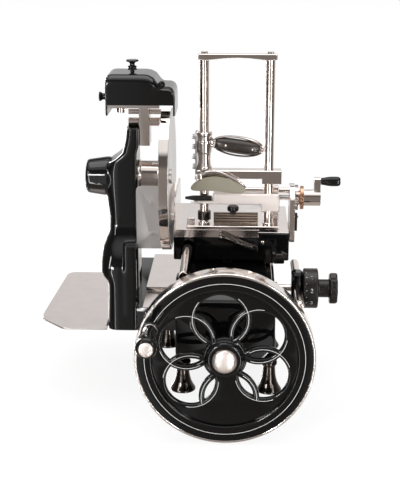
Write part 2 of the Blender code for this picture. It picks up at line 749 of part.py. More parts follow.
def crank_gear(carrier):
    """The gear that turns flat in the base, with downward teeth and the crank pin."""
    radius = 0.076
    tooth_inner = 0.066
    tooth_count = 22
    pin_radius = 0.008
    depth = CRANK_DISC_TOP - CRANK_DISC_BOTTOM
    bore = CRANK_STUD_RADIUS + RUNNING_GAP
    disc = turned("crank_gear", (0, CRANK_Y, CRANK_DISC_BOTTOM), (0, 0, 1),
                  [(radius, 0), (radius, depth), (bore, depth), (bore, 0), (tooth_inner, 0)],
                  tooth_count * 2, closed=True)
    body = bmesh.new()
    body.from_mesh(disc.data)
    middle_radius = (radius + tooth_inner) / 2
    ring = [face for face in body.faces if face.normal.z < -0.9
            and face.calc_center_median().xy.length > (middle_radius + tooth_inner) / 2]
    ring.sort(key=lambda face: math.atan2(face.calc_center_median().y,
                                          face.calc_center_median().x))
    for face in ring[::2]:
        tooth = bmesh.ops.extrude_discrete_faces(body, faces=[face])["faces"][0]
        bmesh.ops.translate(body, vec=(0, 0, CRANK_TEETH_BOTTOM - CRANK_DISC_BOTTOM),
                            verts=tooth.verts)
    body.to_mesh(disc.data)
    body.free()
    pin = rod("pin", (0, CRANK_Y + CRANK_THROW, CRANK_DISC_BOTTOM + OVERRUN / 2),
              (0, CRANK_Y + CRANK_THROW, CONNECTING_ROD_BOTTOM - GEAR_GAP), pin_radius, 16)
    fuse(disc, pin)
    return finish(disc, STEEL, carrier)


def connecting_rod(carrier):
    """The flat rod from the crank to the carriage's lug."""
    eye_radius = 0.012
    bore = 0.0085
    lug_bore = LUG_PIN_RADIUS + RUNNING_GAP
    half = 0.007
    top = CONNECTING_ROD_BOTTOM + CONNECTING_ROD_THICKNESS
    far = (0, LUG_Y)
    near = (0, LUG_Y - CONNECTING_ROD_LENGTH)
    link = plate("connecting_rod", "XY", [(-half, near[1]), (half, near[1]), (half, far[1]),
                                          (-half, far[1])], CONNECTING_ROD_BOTTOM, top)
    for place in (near, far):
        fuse(link, rod("eye", (*place, CONNECTING_ROD_BOTTOM), (*place, top), eye_radius, 14))
    cut(link, rod("crank_eye", (*near, CONNECTING_ROD_BOTTOM - OVERRUN), (*near, top + OVERRUN),
                  bore, 12),
        rod("lug_eye", (*far, CONNECTING_ROD_BOTTOM - OVERRUN), (*far, top + OVERRUN),
            lug_bore, 12))
    return finish(link, STEEL, carrier)


def cross_shaft(carrier):
    """The shaft to the column, with its bevel pinion and the chain's lower sprocket."""
    pinion_x = -0.026
    pinion_half = 0.006
    pinion_root = 0.012
    pinion_tip = 0.015
    right = -0.018
    left = CHAIN_X - CHAIN_WIDTH / 2 - OVERRUN / 2
    shaft = rod("cross_shaft", (right, CROSS_SHAFT_Y, 0), (left, CROSS_SHAFT_Y, 0),
                CROSS_SHAFT_RADIUS, 20, 0.001)
    inner = CROSS_SHAFT_RADIUS / 2
    pinion = gear_disc("pinion", (pinion_x + pinion_half, CROSS_SHAFT_Y, 0), (-1, 0, 0), inner,
                       pinion_root, pinion_tip, 2 * pinion_half, 8)
    sprocket = sprocket_disc("sprocket", (CHAIN_X + SPROCKET_HALF, CROSS_SHAFT_Y, 0),
                             LOWER_SPROCKET_RADIUS, inner, 10)
    fuse(shaft, pinion, sprocket)
    return finish(shaft, STEEL, carrier)


def sprocket_disc(name, start, pitch_radius, bore, teeth):
    """A sprocket whose teeth stop just inside the chain."""
    tip = pitch_radius - CHAIN_THICKNESS / 2 - GEAR_GAP
    tooth_height = 0.0025
    return gear_disc(name, start, (-1, 0, 0), bore, tip - tooth_height, tip, 2 * SPROCKET_HALF,
                     teeth)


def chain_path(radius_change, steps):
    """Side view of the chain's loop round both sprockets, moved out by radius_change."""
    low = Vector((CROSS_SHAFT_Y, 0))
    high = Vector((KNIFE_Y, KNIFE_Z))
    span = high - low
    tilt = math.degrees(math.atan2(span.y, span.x))
    lean = math.degrees(math.asin((LOWER_SPROCKET_RADIUS - UPPER_SPROCKET_RADIUS) / span.length))
    lower = LOWER_SPROCKET_RADIUS + radius_change
    upper = UPPER_SPROCKET_RADIUS + radius_change
    points = arc(high, upper, tilt - 90 + lean, tilt + 90 - lean, steps)
    points += arc(low, lower, tilt + 90 - lean, tilt + 270 + lean, steps)
    return points


def drive_chain(carrier):
    """The chain that turns the knife, as one band round both sprockets."""
    near = CHAIN_X - CHAIN_WIDTH / 2
    far = CHAIN_X + CHAIN_WIDTH / 2
    band = plate("drive_chain", "YZ", chain_path(CHAIN_THICKNESS / 2, 10), near, far)
    inside = plate("inside", "YZ", chain_path(-CHAIN_THICKNESS / 2, 10), near - OVERRUN,
                   far + OVERRUN)
    cut(band, inside)
    return finish(band, DARK_IRON, carrier)


def column_casting(root):
    """The hollow column that holds the knife and the sharpener, open below and behind."""
    width = COLUMN_RIGHT - COLUMN_LEFT
    lower_height = COLUMN_SHOULDER - WING_BOTTOM
    neck_height = COLUMN_TOP - NECK_START
    slab_share = (COLUMN_SLAB_RIGHT - COLUMN_LEFT) / width
    lower_shares = [(0, 0), (0.03, 0.258), (0.05, 0.505), (0, 0.544), (-0.138, 0.582),
                    (-0.172, 0.632), (-0.172, 0.725), (-0.12, 0.868), (-0.052, 0.951), (0.05, 1),
                    (1, 1), (1, 0)]
    neck_shares = [(0.069, 0), (0.069, 0.117), (0.034, 0.266), (-0.017, 0.392), (-0.086, 0.473),
                   (-0.086, 0.631), (0.155, 0.698), (0.431, 0.748), (0.534, 0.802),
                   (0.586, 0.869), (0.638, 0.928), (0.655, 1), (slab_share, 1),
                   (slab_share, 0.856), (1, 0.797), (1, 0)]
    lower = [(COLUMN_LEFT + width * x_share, WING_BOTTOM + lower_height * z_share)
             for x_share, z_share in lower_shares]
    neck = [(COLUMN_LEFT + width * x_share, NECK_START + neck_height * z_share)
            for x_share, z_share in neck_shares]
    column = plate("column_casting", "XZ", lower, COLUMN_FRONT, COLUMN_REAR, 0.004)
    slope = 0.012
    slope_depth = 0.025
    slope_left = COLUMN_LEFT - width
    slope_cut = plate("slope", "YZ", [(COLUMN_FRONT - OVERRUN, COLUMN_SHOULDER - slope),
                                      (COLUMN_FRONT, COLUMN_SHOULDER - slope),
                                      (COLUMN_FRONT + slope_depth, COLUMN_SHOULDER),
                                      (COLUMN_FRONT + slope_depth, COLUMN_SHOULDER + OVERRUN),
                                      (COLUMN_FRONT - OVERRUN, COLUMN_SHOULDER + OVERRUN)],
                      slope_left, COLUMN_RIGHT + OVERRUN)
    cut(column, slope_cut)
    neck_body = plate("neck", "XZ", neck, NECK_FRONT, COLUMN_REAR, 0.004)
    side_block_reach = 0.0045
    side_block_depth = 0.022
    side_block_rise = 0.003
    side_block = block("side_block", (COLUMN_RIGHT - OVERRUN, COLUMN_FRONT,
                                      WING_TOP + side_block_rise),
                       (COLUMN_RIGHT + side_block_reach, COLUMN_FRONT + side_block_depth,
                        COLUMN_SHOULDER), 0.002)
    sump_front = 0.226
    sump_bottom = -0.030
    sump = block("sump", (COLUMN_LEFT, sump_front, sump_bottom),
                 (COLUMN_RIGHT, COLUMN_REAR, WING_BOTTOM + OVERRUN))
    hub_radius = 0.031
    hub_root = COLUMN_REAR - KNIFE_Y - OVERRUN
    hub_end = -0.2725
    hub_edge = 0.006
    hub_length = COLUMN_RIGHT - hub_end
    hub = turned("hub", (COLUMN_RIGHT, KNIFE_Y, KNIFE_Z), (-1, 0, 0),
                 [(0, 0), (hub_root, 0), (hub_radius, hub_length - 2 * hub_edge),
                  (hub_radius - hub_edge / 2, hub_length - hub_edge / 2),
                  (hub_radius - 2 * hub_edge, hub_length), (0, hub_length)], 24)
    pad_sag = 0.005
    pad_depth = 0.020
    pad_left = -0.2305
    pad_right = -0.200
    pad_middle = (pad_left + pad_right) / 2
    pad = plate("pad", "XZ", [(pad_left, WING_BOTTOM + OVERRUN / 2),
                              (pad_middle - pad_sag, WING_BOTTOM - pad_sag),
                              (pad_middle + pad_sag, WING_BOTTOM - pad_sag),
                              (pad_right, WING_BOTTOM + OVERRUN / 2)],
                COLUMN_FRONT + OVERRUN / 2, COLUMN_FRONT + pad_depth)
    fuse(column, neck_body, side_block, sump, hub, pad)
    left_wall = 0.010
    room_height = 0.028
    room_top = KNIFE_Z + room_height
    lower_room = block("lower_room", (COLUMN_LEFT + left_wall, COLUMN_FRONT + CASTING_WALL,
                                      sump_bottom - OVERRUN),
                       (COLUMN_RIGHT - CASTING_WALL, COLUMN_REAR + OVERRUN,
                        COLUMN_SHOULDER - slope - CASTING_WALL))
    upper_room = block("upper_room", (COLUMN_LEFT + left_wall, NECK_FRONT + CASTING_WALL,
                                      NECK_START - 2 * CASTING_WALL),
                       (COLUMN_RIGHT - CASTING_WALL, COLUMN_REAR + OVERRUN, room_top))
    shaft_bore = rod("shaft_bore", (COLUMN_RIGHT + OVERRUN, KNIFE_Y, KNIFE_Z),
                     (KNIFE_SHAFT_LEFT - OVERRUN, KNIFE_Y, KNIFE_Z),
                     KNIFE_SHAFT_RADIUS + RUNNING_GAP, 20)
    cross_bore = rod("cross_bore", (COLUMN_RIGHT + OVERRUN, CROSS_SHAFT_Y, 0),
                     (COLUMN_RIGHT - 2 * CASTING_WALL, CROSS_SHAFT_Y, 0),
                     CROSS_SHAFT_RADIUS + RUNNING_GAP, 20)
    cut(column, lower_room, upper_room, shaft_bore, cross_bore)
    return finish(column, GLOSS_BLACK, root)


def column_cover(root):
    """The plate that closes the back of the column."""
    near = COLUMN_REAR + SEAT_GAP
    bottom = -0.026
    rise = 0.032
    left = COLUMN_LEFT + CASTING_WALL / 2
    neck_left = COLUMN_LEFT + CASTING_WALL
    right = COLUMN_RIGHT - CASTING_WALL / 2
    outline = [(left, bottom), (right, bottom), (right, KNIFE_Z + rise),
               (neck_left, KNIFE_Z + rise), (neck_left, COLUMN_SHOULDER), (left, NECK_START)]
    cover = plate("column_cover", "XZ", outline, near, near + COVER_THICKNESS)
    return finish(cover, GLOSS_BLACK, root)


def knife_bearing_housing(root):
    """The bright housing between the column and the knife."""
    radius = 0.033
    flange = 0.004
    step = 0.0025
    length = RING_LEFT - COLUMN_RIGHT - 2 * SEAT_GAP
    bore = KNIFE_SHAFT_RADIUS + RUNNING_GAP
    profile = [(radius, 0), (radius, flange), (radius - step, flange + step),
               (radius - step, length - flange - step), (radius, length - flange),
               (radius, length), (bore, length), (bore, 0)]
    housing = turned("knife_bearing_housing", (COLUMN_RIGHT + SEAT_GAP, KNIFE_Y, KNIFE_Z),
                     (1, 0, 0), profile, 24, closed=True)
    return finish(housing, NICKEL, root)


def guard_ring(root):
    """The guard behind the knife, with a band round the edge that the food doesn't reach."""
    web = 0.0025
    band = 0.0065
    bore = KNIFE_SHAFT_RADIUS + RUNNING_GAP
    width = RING_RIGHT - RING_LEFT
    open_from = -70
    open_to = 108
    hub = 0.052
    profile = [(bore, 0), (RING_RADIUS, 0), (RING_RADIUS, width), (RING_RADIUS - band, width),
               (RING_RADIUS - band, web), (bore, web)]
    ring = turned("guard_ring", (RING_LEFT, KNIFE_Y, KNIFE_Z), (1, 0, 0), profile, 40,
                  closed=True)
    centre = (KNIFE_Y, KNIFE_Z)
    wedge = arc(centre, hub, open_to, open_from, 8)
    wedge += arc(centre, RING_RADIUS * 1.25, open_from, open_to, 8)
    cut(ring, plate("wedge", "YZ", wedge, RING_LEFT - OVERRUN, RING_RIGHT + OVERRUN))
    return finish(ring, NICKEL, root)


def knife_shaft(carrier):
    """The knife's shaft, with the chain's upper sprocket and the knife's nut."""
    nut_radius = 0.014
    nut = 0.004
    nut_start = KNIFE_EDGE_X - KNIFE_DISH + SEAT_GAP
    length = nut_start - KNIFE_SHAFT_LEFT
    profile = [(0, 0), (KNIFE_SHAFT_RADIUS, 0), (KNIFE_SHAFT_RADIUS, length),
               (nut_radius, length), (nut_radius, length + nut), (0, length + nut)]
    shaft = turned("knife_shaft", (KNIFE_SHAFT_LEFT, KNIFE_Y, KNIFE_Z), (1, 0, 0), profile, 20)
    sprocket = sprocket_disc("sprocket", (CHAIN_X + SPROCKET_HALF, KNIFE_Y, KNIFE_Z),
                             UPPER_SPROCKET_RADIUS, KNIFE_SHAFT_RADIUS / 2, 8)
    fuse(shaft, sprocket)
    return finish(shaft, STEEL, carrier)


def knife(carrier):
    """The round knife: a thin dish with its ground edge in the cutting plane."""
    edge = 0.0006
    ground = 0.010
    plate_thickness = 0.003
    hub_radius = 0.030
    bore = KNIFE_SHAFT_RADIUS + SEAT_GAP
    back = -KNIFE_DISH - KNIFE_HUB
    profile = [(bore, -KNIFE_DISH), (hub_radius, -KNIFE_DISH),
               (KNIFE_RADIUS - 3 * ground, -KNIFE_DISH), (KNIFE_RADIUS - ground, -edge * 2),
               (KNIFE_RADIUS, 0), (KNIFE_RADIUS, -edge),
               (KNIFE_RADIUS - ground, -plate_thickness),
               (KNIFE_RADIUS - 3 * ground, -KNIFE_DISH - plate_thickness),
               (hub_radius, -KNIFE_DISH - plate_thickness), (hub_radius, back), (bore, back)]
    disc = turned("knife", (KNIFE_EDGE_X, KNIFE_Y, KNIFE_Z), (1, 0, 0), profile, 40, closed=True)
    return finish(disc, STEEL, carrier)


def front_guard_plate(root):
    """The brushed plate in front of the knife's bearing, with its two screws."""
    left = COLUMN_RIGHT + SEAT_GAP
    right = RING_LEFT - 2 * SEAT_GAP
    bottom = 0.147
    top = 0.270
    thickness = 0.003
    corner = 0.010
    set_back = 0.023
    front = COLUMN_FRONT + set_back
    gap_front = front + thickness
    outline = [(left, bottom), (right, bottom)]
    outline += arc((right - corner, top - corner), corner, 0, 90, 3)
    outline += arc((left + corner, top - corner), corner, 90, 180, 3)
    cover = plate("front_guard_plate", "XZ", outline, front, gap_front)
    screw_radius = 0.004
    screw_head = 0.0015
    for screw_z in (0.177, 0.236):
        fuse(cover, rod("screw", (GUARD_SCREW_X, front + screw_head, screw_z),
                        (GUARD_SCREW_X, front - screw_head, screw_z), screw_radius, 12))
    flange_reach = 0.036
    flange_bottom = 0.186
    flange_top = 0.232
    flange = block("flange", (left, front + screw_head, flange_bottom),
                   (left + thickness, gap_front + flange_reach, flange_top))
    fuse(cover, flange)
    return finish(cover, BRUSHED, root)


def sharpener_bracket(root):
    """The base plate under the sharpener, with its arm, its two shafts and its stop."""
    sheet_bottom = SHARPENER_BASE - SHARPENER_SHEET
    base = block("sharpener_bracket", (SHARPENER_LEFT + HOOD_WALL + SEAT_GAP, SHARPENER_FRONT,
                                       sheet_bottom),
                 (SHARPENER_BASE_RIGHT, SHARPENER_REAR, SHARPENER_BASE - SEAT_GAP))
    arm_left = COLUMN_SLAB_RIGHT + SEAT_GAP
    arm_width = 0.020
    arm_overlap = 0.034
    arm_half = 0.022
    arm = block("arm", (arm_left, STONE_Y - arm_half, COLUMN_TOP - arm_overlap),
                (arm_left + arm_width, STONE_Y + arm_half, SHARPENER_BASE - OVERRUN), 0.001)
    shaft_left = -0.190
    shaft_end = -0.120
    lower_z = COLUMN_TOP + SEAT_GAP + LOWER_SHAFT_RADIUS
    lower_shaft = rod("lower_shaft", (shaft_left, STONE_Y, lower_z), (shaft_end, STONE_Y, lower_z),
                      LOWER_SHAFT_RADIUS, 18)
    upper_radius = 0.0049
    upper_drop = 0.020
    upper_z = SHARPENER_BASE - upper_drop
    upper_shaft = rod("upper_shaft", (shaft_left, STONE_Y, upper_z),
                      (SHARPENER_BASE_RIGHT, STONE_Y, upper_z), upper_radius, 14)
    stop_radius = 0.008
    stop_x = -0.204
    stop_height = 0.017
    stop_top = SHARPENER_BASE - SHARPENER_SHEET / 2
    stop = rod("stop", (stop_x, STONE_Y - stop_radius, stop_top - stop_height),
               (stop_x, STONE_Y - stop_radius, stop_top), stop_radius, 16)
    fuse(base, arm, lower_shaft, upper_shaft, stop)
    return finish(base, NICKEL, root)


def hood_profile(inset):
    """Outline of the hood seen from its end, set in by a wall or by nothing."""
    corner = HOOD_CORNER - inset
    bottom = SHARPENER_BASE - 2 * HOOD_FLAP
    top_front = (SHARPENER_FRONT + HOOD_CORNER, SHARPENER_TOP - HOOD_CORNER)
    top_rear = (SHARPENER_REAR - HOOD_CORNER, SHARPENER_TOP - HOOD_CORNER)
    outline = [(SHARPENER_FRONT + inset, bottom)] + arc(top_front, corner, 180, 90, 4)
    outline += arc(top_rear, corner, 90, 0, 4) + [(SHARPENER_REAR - inset, bottom)]
    return outline


def shoulder_wedge(drop):
    """The tool that slopes the hood's right shoulder, lowered for the inside."""
    high_x = -0.152
    middle_x = -0.126
    middle_drop = 0.013
    low_drop = 0.024
    return plate("shoulder", "XZ", [(high_x, SHARPENER_TOP - drop),
                                    (middle_x, SHARPENER_TOP - drop - middle_drop),
                                    (SHARPENER_RIGHT + OVERRUN,
                                     SHARPENER_TOP - drop - low_drop),
                                    (SHARPENER_RIGHT + OVERRUN, SHARPENER_TOP + OVERRUN),
                                    (high_x, SHARPENER_TOP + OVERRUN)],
                 SHARPENER_FRONT - OVERRUN, SHARPENER_REAR + OVERRUN)


def sharpener_housing(root):
    """The black hood over the stones, open below, its end walls longer than its front."""
    hood = plate("sharpener_housing", "YZ", hood_profile(0), SHARPENER_LEFT, SHARPENER_RIGHT,
                 0.005, 2)
    cut(hood, shoulder_wedge(0))
    flap_bottom = SHARPENER_BASE - HOOD_FLAP
    trim = block("trim", (SHARPENER_LEFT - OVERRUN, SHARPENER_FRONT - OVERRUN,
                          flap_bottom - 2 * HOOD_FLAP),
                 (SHARPENER_RIGHT + OVERRUN, SHARPENER_REAR + OVERRUN, flap_bottom))
    under = block("under", (SHARPENER_LEFT + HOOD_WALL, SHARPENER_FRONT - OVERRUN,
                            flap_bottom - OVERRUN),
                  (SHARPENER_RIGHT - HOOD_WALL, SHARPENER_REAR + OVERRUN, SHARPENER_BASE))
    room = plate("room", "YZ", hood_profile(HOOD_WALL), SHARPENER_LEFT + HOOD_WALL,
                 SHARPENER_RIGHT - HOOD_WALL)
    cut(room, shoulder_wedge(HOOD_WALL))
    stem_bore = rod("stem_bore", (SHARPENER_KNOB_X, STONE_Y, SHARPENER_TOP - 2 * HOOD_WALL),
                    (SHARPENER_KNOB_X, STONE_Y, SHARPENER_TOP + OVERRUN),
                    STEM_RADIUS + SLIDING_GAP, 16)
    side_bore = rod("side_bore", (SHARPENER_LEFT - OVERRUN, STONE_Y, SIDE_KNOB_Z),
                    (SHARPENER_LEFT + 2 * HOOD_WALL, STONE_Y, SIDE_KNOB_Z),
                    STEM_RADIUS + RUNNING_GAP, 16)
    cut(hood, trim, under, room, stem_bore, side_bore)
    return finish(hood, GLOSS_BLACK, root)


def sharpener_knob(carrier):
    """The mushroom knob on top, its stem and the block that carries both stones."""
    head_radius = 0.0125
    head = 0.011
    neck_radius = 0.006
    neck = 0.008
    block_left = -0.194
    block_right = -0.150
    block_front = 0.250
    block_rear = 0.300
    block_rise = 0.0045
    block_height = 0.016
    block_bottom = SHARPENER_BASE + block_rise
    block_top = block_bottom + block_height
    stem_length = SHARPENER_TOP - block_top + OVERRUN
    lift = 0.001
    start = block_top - OVERRUN
    end = start + stem_length + lift + OVERRUN
    profile = [(0, 0), (STEM_RADIUS, 0), (STEM_RADIUS, end - start), (neck_radius, end - start),
               (neck_radius, end - start + neck), (head_radius, end - start + neck),
               (head_radius, end - start + neck + head / 3),
               (head_radius * 0.8, end - start + neck + head * 0.8),
               (0, end - start + neck + head)]
    knob = turned("sharpener_knob", (SHARPENER_KNOB_X, STONE_Y, start), (0, 0, 1), profile, 14)
    carriage = block("carriage", (block_left, block_front, block_bottom),
                     (block_right, block_rear, block_top))
    fuse(knob, carriage)
    for place_y, place_z in (STONE_PLACE, HONE_PLACE):
        cut(knob, rod("spindle_bore", (block_right + OVERRUN, place_y, place_z),
                      (block_left + OVERRUN, place_y, place_z),
                      SPINDLE_RADIUS + RUNNING_GAP, 12))
    return finish(knob, GRIP_BLACK, carrier)


def stone(name, place, radius, carrier):
    """A sharpening stone on its spindle."""
    left = -0.1225
    right = -0.1165
    spindle_left = -0.180
    place_y, place_z = place
    collar = 0.006
    profile = [(0, 0), (SPINDLE_RADIUS, 0), (SPINDLE_RADIUS, left - spindle_left - collar),
               (2 * SPINDLE_RADIUS, left - spindle_left - collar),
               (2 * SPINDLE_RADIUS, left - spindle_left), (radius, left - spindle_left),
               (radius, right - spindle_left), (0, right - spindle_left)]
    disc = turned(name, (spindle_left, place_y, place_z), (1, 0, 0), profile, 16)
    return finish(disc, STONE, carrier)


def grinding_knob(carrier):
    """The small knob at the hood's left end."""
    radius = 0.008
    width = 0.012
    neck = 0.005
    inside = 0.006
    profile = [(0, -inside), (STEM_RADIUS, -inside), (STEM_RADIUS, SEAT_GAP + neck),
               (radius, SEAT_GAP + neck), (radius, neck + width * 0.8),
               (radius * 0.7, neck + width), (0, neck + width)]
    knob = turned("grinding_knob", (SHARPENER_LEFT, STONE_Y, SIDE_KNOB_Z), (-1, 0, 0), profile, 16)
    return finish(knob, NICKEL, carrier)


def honing_knob(root):
    """The slanted knob on the hood's front."""
    from_right = 0.0365
    rise = 0.027
    start = Vector((SHARPENER_RIGHT - from_right, SHARPENER_FRONT - SEAT_GAP,
                    SHARPENER_BASE + rise))
    lean_shares = (0.62, -0.42, 0.66)
    toward = Vector(lean_shares).normalized()
    stem_radius = 0.004
    stem = 0.014
    head_radius = 0.0065
    head = 0.011
    flange_radius = 0.008
    flange = 0.003
    stem_piece = rod("honing_knob", start, start + Vector((0, -flange, 0)), flange_radius, 16)
    lean = turned("lean", start + Vector((0, -flange / 2, 0)), toward,
                  [(0, 0), (stem_radius, 0), (stem_radius, stem), (head_radius, stem),
                   (head_radius, stem + head * 0.8), (head_radius * 0.7, stem + head),
                   (0, stem + head)], 16)
    trim = block("trim", start - Vector((flange_radius, 0, flange_radius)) * 2,
                 start + Vector((flange_radius * 2, flange_radius, flange_radius * 2)))
    fuse(stem_piece, lean)
    cut(stem_piece, trim)
    return finish(stem_piece, NICKEL, root)


def carriage_casting(carrier):
    """The sliding carriage: bored for its rod, ribbed for its roller, with the crank's lug."""
    wall = 0.006
    top = CARRIAGE_TOP + TOP_PLATE_THICKNESS + 0.002
    casting = block("carriage_casting", (CARRIAGE_LEFT, CARRIAGE_FRONT, CARRIAGE_BOTTOM),
                    (CARRIAGE_RIGHT, CARRIAGE_REAR, top), 0.002)
    bearing_right = GUIDE_ROD_X + 0.018
    rib_left = RAIL_LEFT - 0.004
    rib_right = RAIL_LEFT + RAIL_WIDTH + 0.004
    room = block("room", (bearing_right, CARRIAGE_FRONT + wall, CARRIAGE_BOTTOM - OVERRUN),
                 (CARRIAGE_RIGHT - wall, CARRIAGE_REAR - wall, top - wall))
    apron_step = block("apron_step", (CARRIAGE_LEFT - OVERRUN, CARRIAGE_FRONT - OVERRUN,
                                      CARRIAGE_TOP),
                       (PLATE_RIGHT, CARRIAGE_FRONT + APRON + SEAT_GAP, top + OVERRUN))
    rod_bore = rod("rod_bore", (GUIDE_ROD_X, CARRIAGE_FRONT - OVERRUN, GUIDE_ROD_Z),
                   (GUIDE_ROD_X, CARRIAGE_REAR + OVERRUN, GUIDE_ROD_Z),
                   GUIDE_ROD_RADIUS + RUNNING_GAP, 20)
    arch_radius = 0.0135
    arch_depth = 0.030
    arch_shape = [(GUIDE_ROD_X - arch_radius, CARRIAGE_BOTTOM - OVERRUN),
                  (GUIDE_ROD_X + arch_radius, CARRIAGE_BOTTOM - OVERRUN)]
    arch_shape += arc((GUIDE_ROD_X, GUIDE_ROD_Z), arch_radius, 0, 180, 8)
    arch = plate("arch", "XZ", arch_shape, CARRIAGE_FRONT - OVERRUN,
                 CARRIAGE_FRONT + arch_depth)
    recess_left = 0.060
    recess_right = 0.091
    recess_bottom = 0.142
    recess_top = 0.153
    recess_depth = 0.004
    recess = block("recess", (recess_left, CARRIAGE_FRONT - OVERRUN, recess_bottom),
                   (recess_right, CARRIAGE_FRONT + recess_depth, recess_top))
    cut(casting, room, apron_step, rod_bore, arch, recess)

    rib_bottom = RAIL_TOP + 0.004
    rib = block("rib", (rib_left, CARRIAGE_FRONT + wall / 2, rib_bottom),
                (rib_right, CARRIAGE_REAR - wall / 2, top - wall / 2))
    nub_left = 0.090
    nub_right = 0.112
    nub_depth = 0.016
    nub_bottom = 0.103
    nub = block("nub", (nub_left, CARRIAGE_FRONT + 0.001, nub_bottom),
                (nub_right, CARRIAGE_FRONT + nub_depth, CARRIAGE_BOTTOM + wall), 0.002)
    lug = block("lug", (-LUG_HALF, LUG_Y - LUG_HALF, LUG_BOTTOM),
                (LUG_HALF, LUG_Y + LUG_HALF, top - wall / 2))
    rod_bottom = CONNECTING_ROD_BOTTOM
    pin_head = 0.0035
    pin_head_radius = 0.0075
    pin = turned("pin", (0, LUG_Y, rod_bottom - SLIDING_GAP - pin_head), (0, 0, 1),
                 [(0, 0), (pin_head_radius, 0), (pin_head_radius, pin_head),
                  (LUG_PIN_RADIUS, pin_head), (LUG_PIN_RADIUS, LUG_BOTTOM + OVERRUN
                                               - rod_bottom + SLIDING_GAP + pin_head),
                  (0, LUG_BOTTOM + OVERRUN - rod_bottom + SLIDING_GAP + pin_head)], 16)
    fuse(casting, rib, nub, lug, pin)
    pocket_half = ROLLER_RADIUS + 0.0015
    pocket = block("pocket", (ROLLER_LEFT - RUNNING_GAP, ROLLER_Y - pocket_half,
                              rib_bottom - OVERRUN),
                   (ROLLER_LEFT + ROLLER_WIDTH + RUNNING_GAP, ROLLER_Y + pocket_half,
                    ROLLER_Z + pocket_half))
    axle_bore = rod("axle_bore", (rib_left - OVERRUN, ROLLER_Y, ROLLER_Z),
                    (rib_right + OVERRUN, ROLLER_Y, ROLLER_Z), ROLLER_AXLE + RUNNING_GAP, 12)
    pivot_bore = rod("pivot_bore", (LEVER_X, CARRIAGE_FRONT - OVERRUN, LEVER_Z),
                     (LEVER_X, CARRIAGE_FRONT + wall + OVERRUN, LEVER_Z),
                     LEVER_PIN + RUNNING_GAP, 12)
    cut(casting, pocket, axle_bore, pivot_bore)
    return finish(casting, GLOSS_BLACK, carrier)


def carriage_roller(carrier):
    """The roller under the carriage's right side, with its axle."""
    axle_reach = 0.0035
    chamfer = 0.0005
    profile = [(0, 0), (ROLLER_AXLE, 0), (ROLLER_AXLE, axle_reach),
               (ROLLER_RADIUS - chamfer, axle_reach), (ROLLER_RADIUS, axle_reach + chamfer),
               (ROLLER_RADIUS, axle_reach + ROLLER_WIDTH - chamfer),
               (ROLLER_RADIUS - chamfer, axle_reach + ROLLER_WIDTH),
               (ROLLER_AXLE, axle_reach + ROLLER_WIDTH),
               (ROLLER_AXLE, 2 * axle_reach + ROLLER_WIDTH), (0, 2 * axle_reach + ROLLER_WIDTH)]
    roller = turned("carriage_roller", (ROLLER_LEFT - axle_reach, ROLLER_Y, ROLLER_Z), (1, 0, 0),
                    profile, 16)
    return finish(roller, STEEL, carrier)


def carriage_top_plate(carrier):
    """The polished plate on the carriage, with its front apron."""
    low = CARRIAGE_TOP + TOP_PLATE_THICKNESS + 0.002 + SEAT_GAP
    sheet = PLATE_TOP - low
    outline = [(CARRIAGE_FRONT, CARRIAGE_TOP + SEAT_GAP),
               (CARRIAGE_FRONT + APRON, CARRIAGE_TOP + SEAT_GAP),
               (CARRIAGE_FRONT + APRON, low), (CARRIAGE_REAR, low),
               (CARRIAGE_REAR, low + sheet), (CARRIAGE_FRONT, low + sheet)]
    piece = plate("carriage_top_plate", "YZ", outline, CARRIAGE_LEFT, PLATE_RIGHT - SEAT_GAP)
    return finish(piece, WARM_STEEL, carrier)


def carriage_fence(carrier):
    """The upright plate on the carriage that runs past the knife."""
    thickness = 0.003
    left = CARRIAGE_LEFT + 0.0005
    front = CARRIAGE_FRONT + 0.006
    rear = CARRIAGE_REAR - 0.006
    top = 0.232
    corner = 0.020
    outline = [(front, PLATE_TOP + SEAT_GAP), (rear, PLATE_TOP + SEAT_GAP)]
    outline += arc((rear - corner, top - corner), corner, 0, 90, 3)
    outline += arc((front + corner, top - corner), corner, 90, 180, 3)
    piece = plate("carriage_fence", "YZ", outline, left, left + thickness)
    return finish(piece, WARM_STEEL, carrier)


def carriage_lever(carrier):
    """The black ribbed lever on the carriage's front, with its pivot pin."""
    end_x = -0.015
    end_z = 0.162
    standoff = 0.002
    middle_y = CARRIAGE_FRONT - standoff - LEVER_RADIUS
    start = Vector((LEVER_X, middle_y, LEVER_Z))
    end = Vector((end_x, middle_y, end_z))
    length = (end - start).length
    rib_count = 4
    shares = [(0.80, 0.0)]
    for rib in range(rib_count):
        along = 0.12 + 0.075 * rib
        shares += [(0.80, along), (1.0, along + 0.02), (1.0, along + 0.045), (0.80, along + 0.06)]
    shares += [(0.86, 0.60), (0.98, 0.85), (0.98, 0.96), (0.70, 1.0)]
    profile = [(0, 0)] + [(LEVER_RADIUS * radius, length * along) for radius, along in shares]
    profile += [(0, length)]
    lever = turned("carriage_lever", start, end - start, profile, 8)
    boss_radius = 0.008
    boss = rod("boss", start + Vector((0, -LEVER_RADIUS, 0)),
               start + Vector((0, LEVER_RADIUS + standoff - RUNNING_GAP, 0)), boss_radius, 16)
    pin_reach = 0.006
    pin = rod("pin", start, start + Vector((0, LEVER_RADIUS + standoff + pin_reach, 0)),
              LEVER_PIN, 12)
    fuse(lever, boss, pin)
    return finish(lever, GRIP_BLACK, carrier)


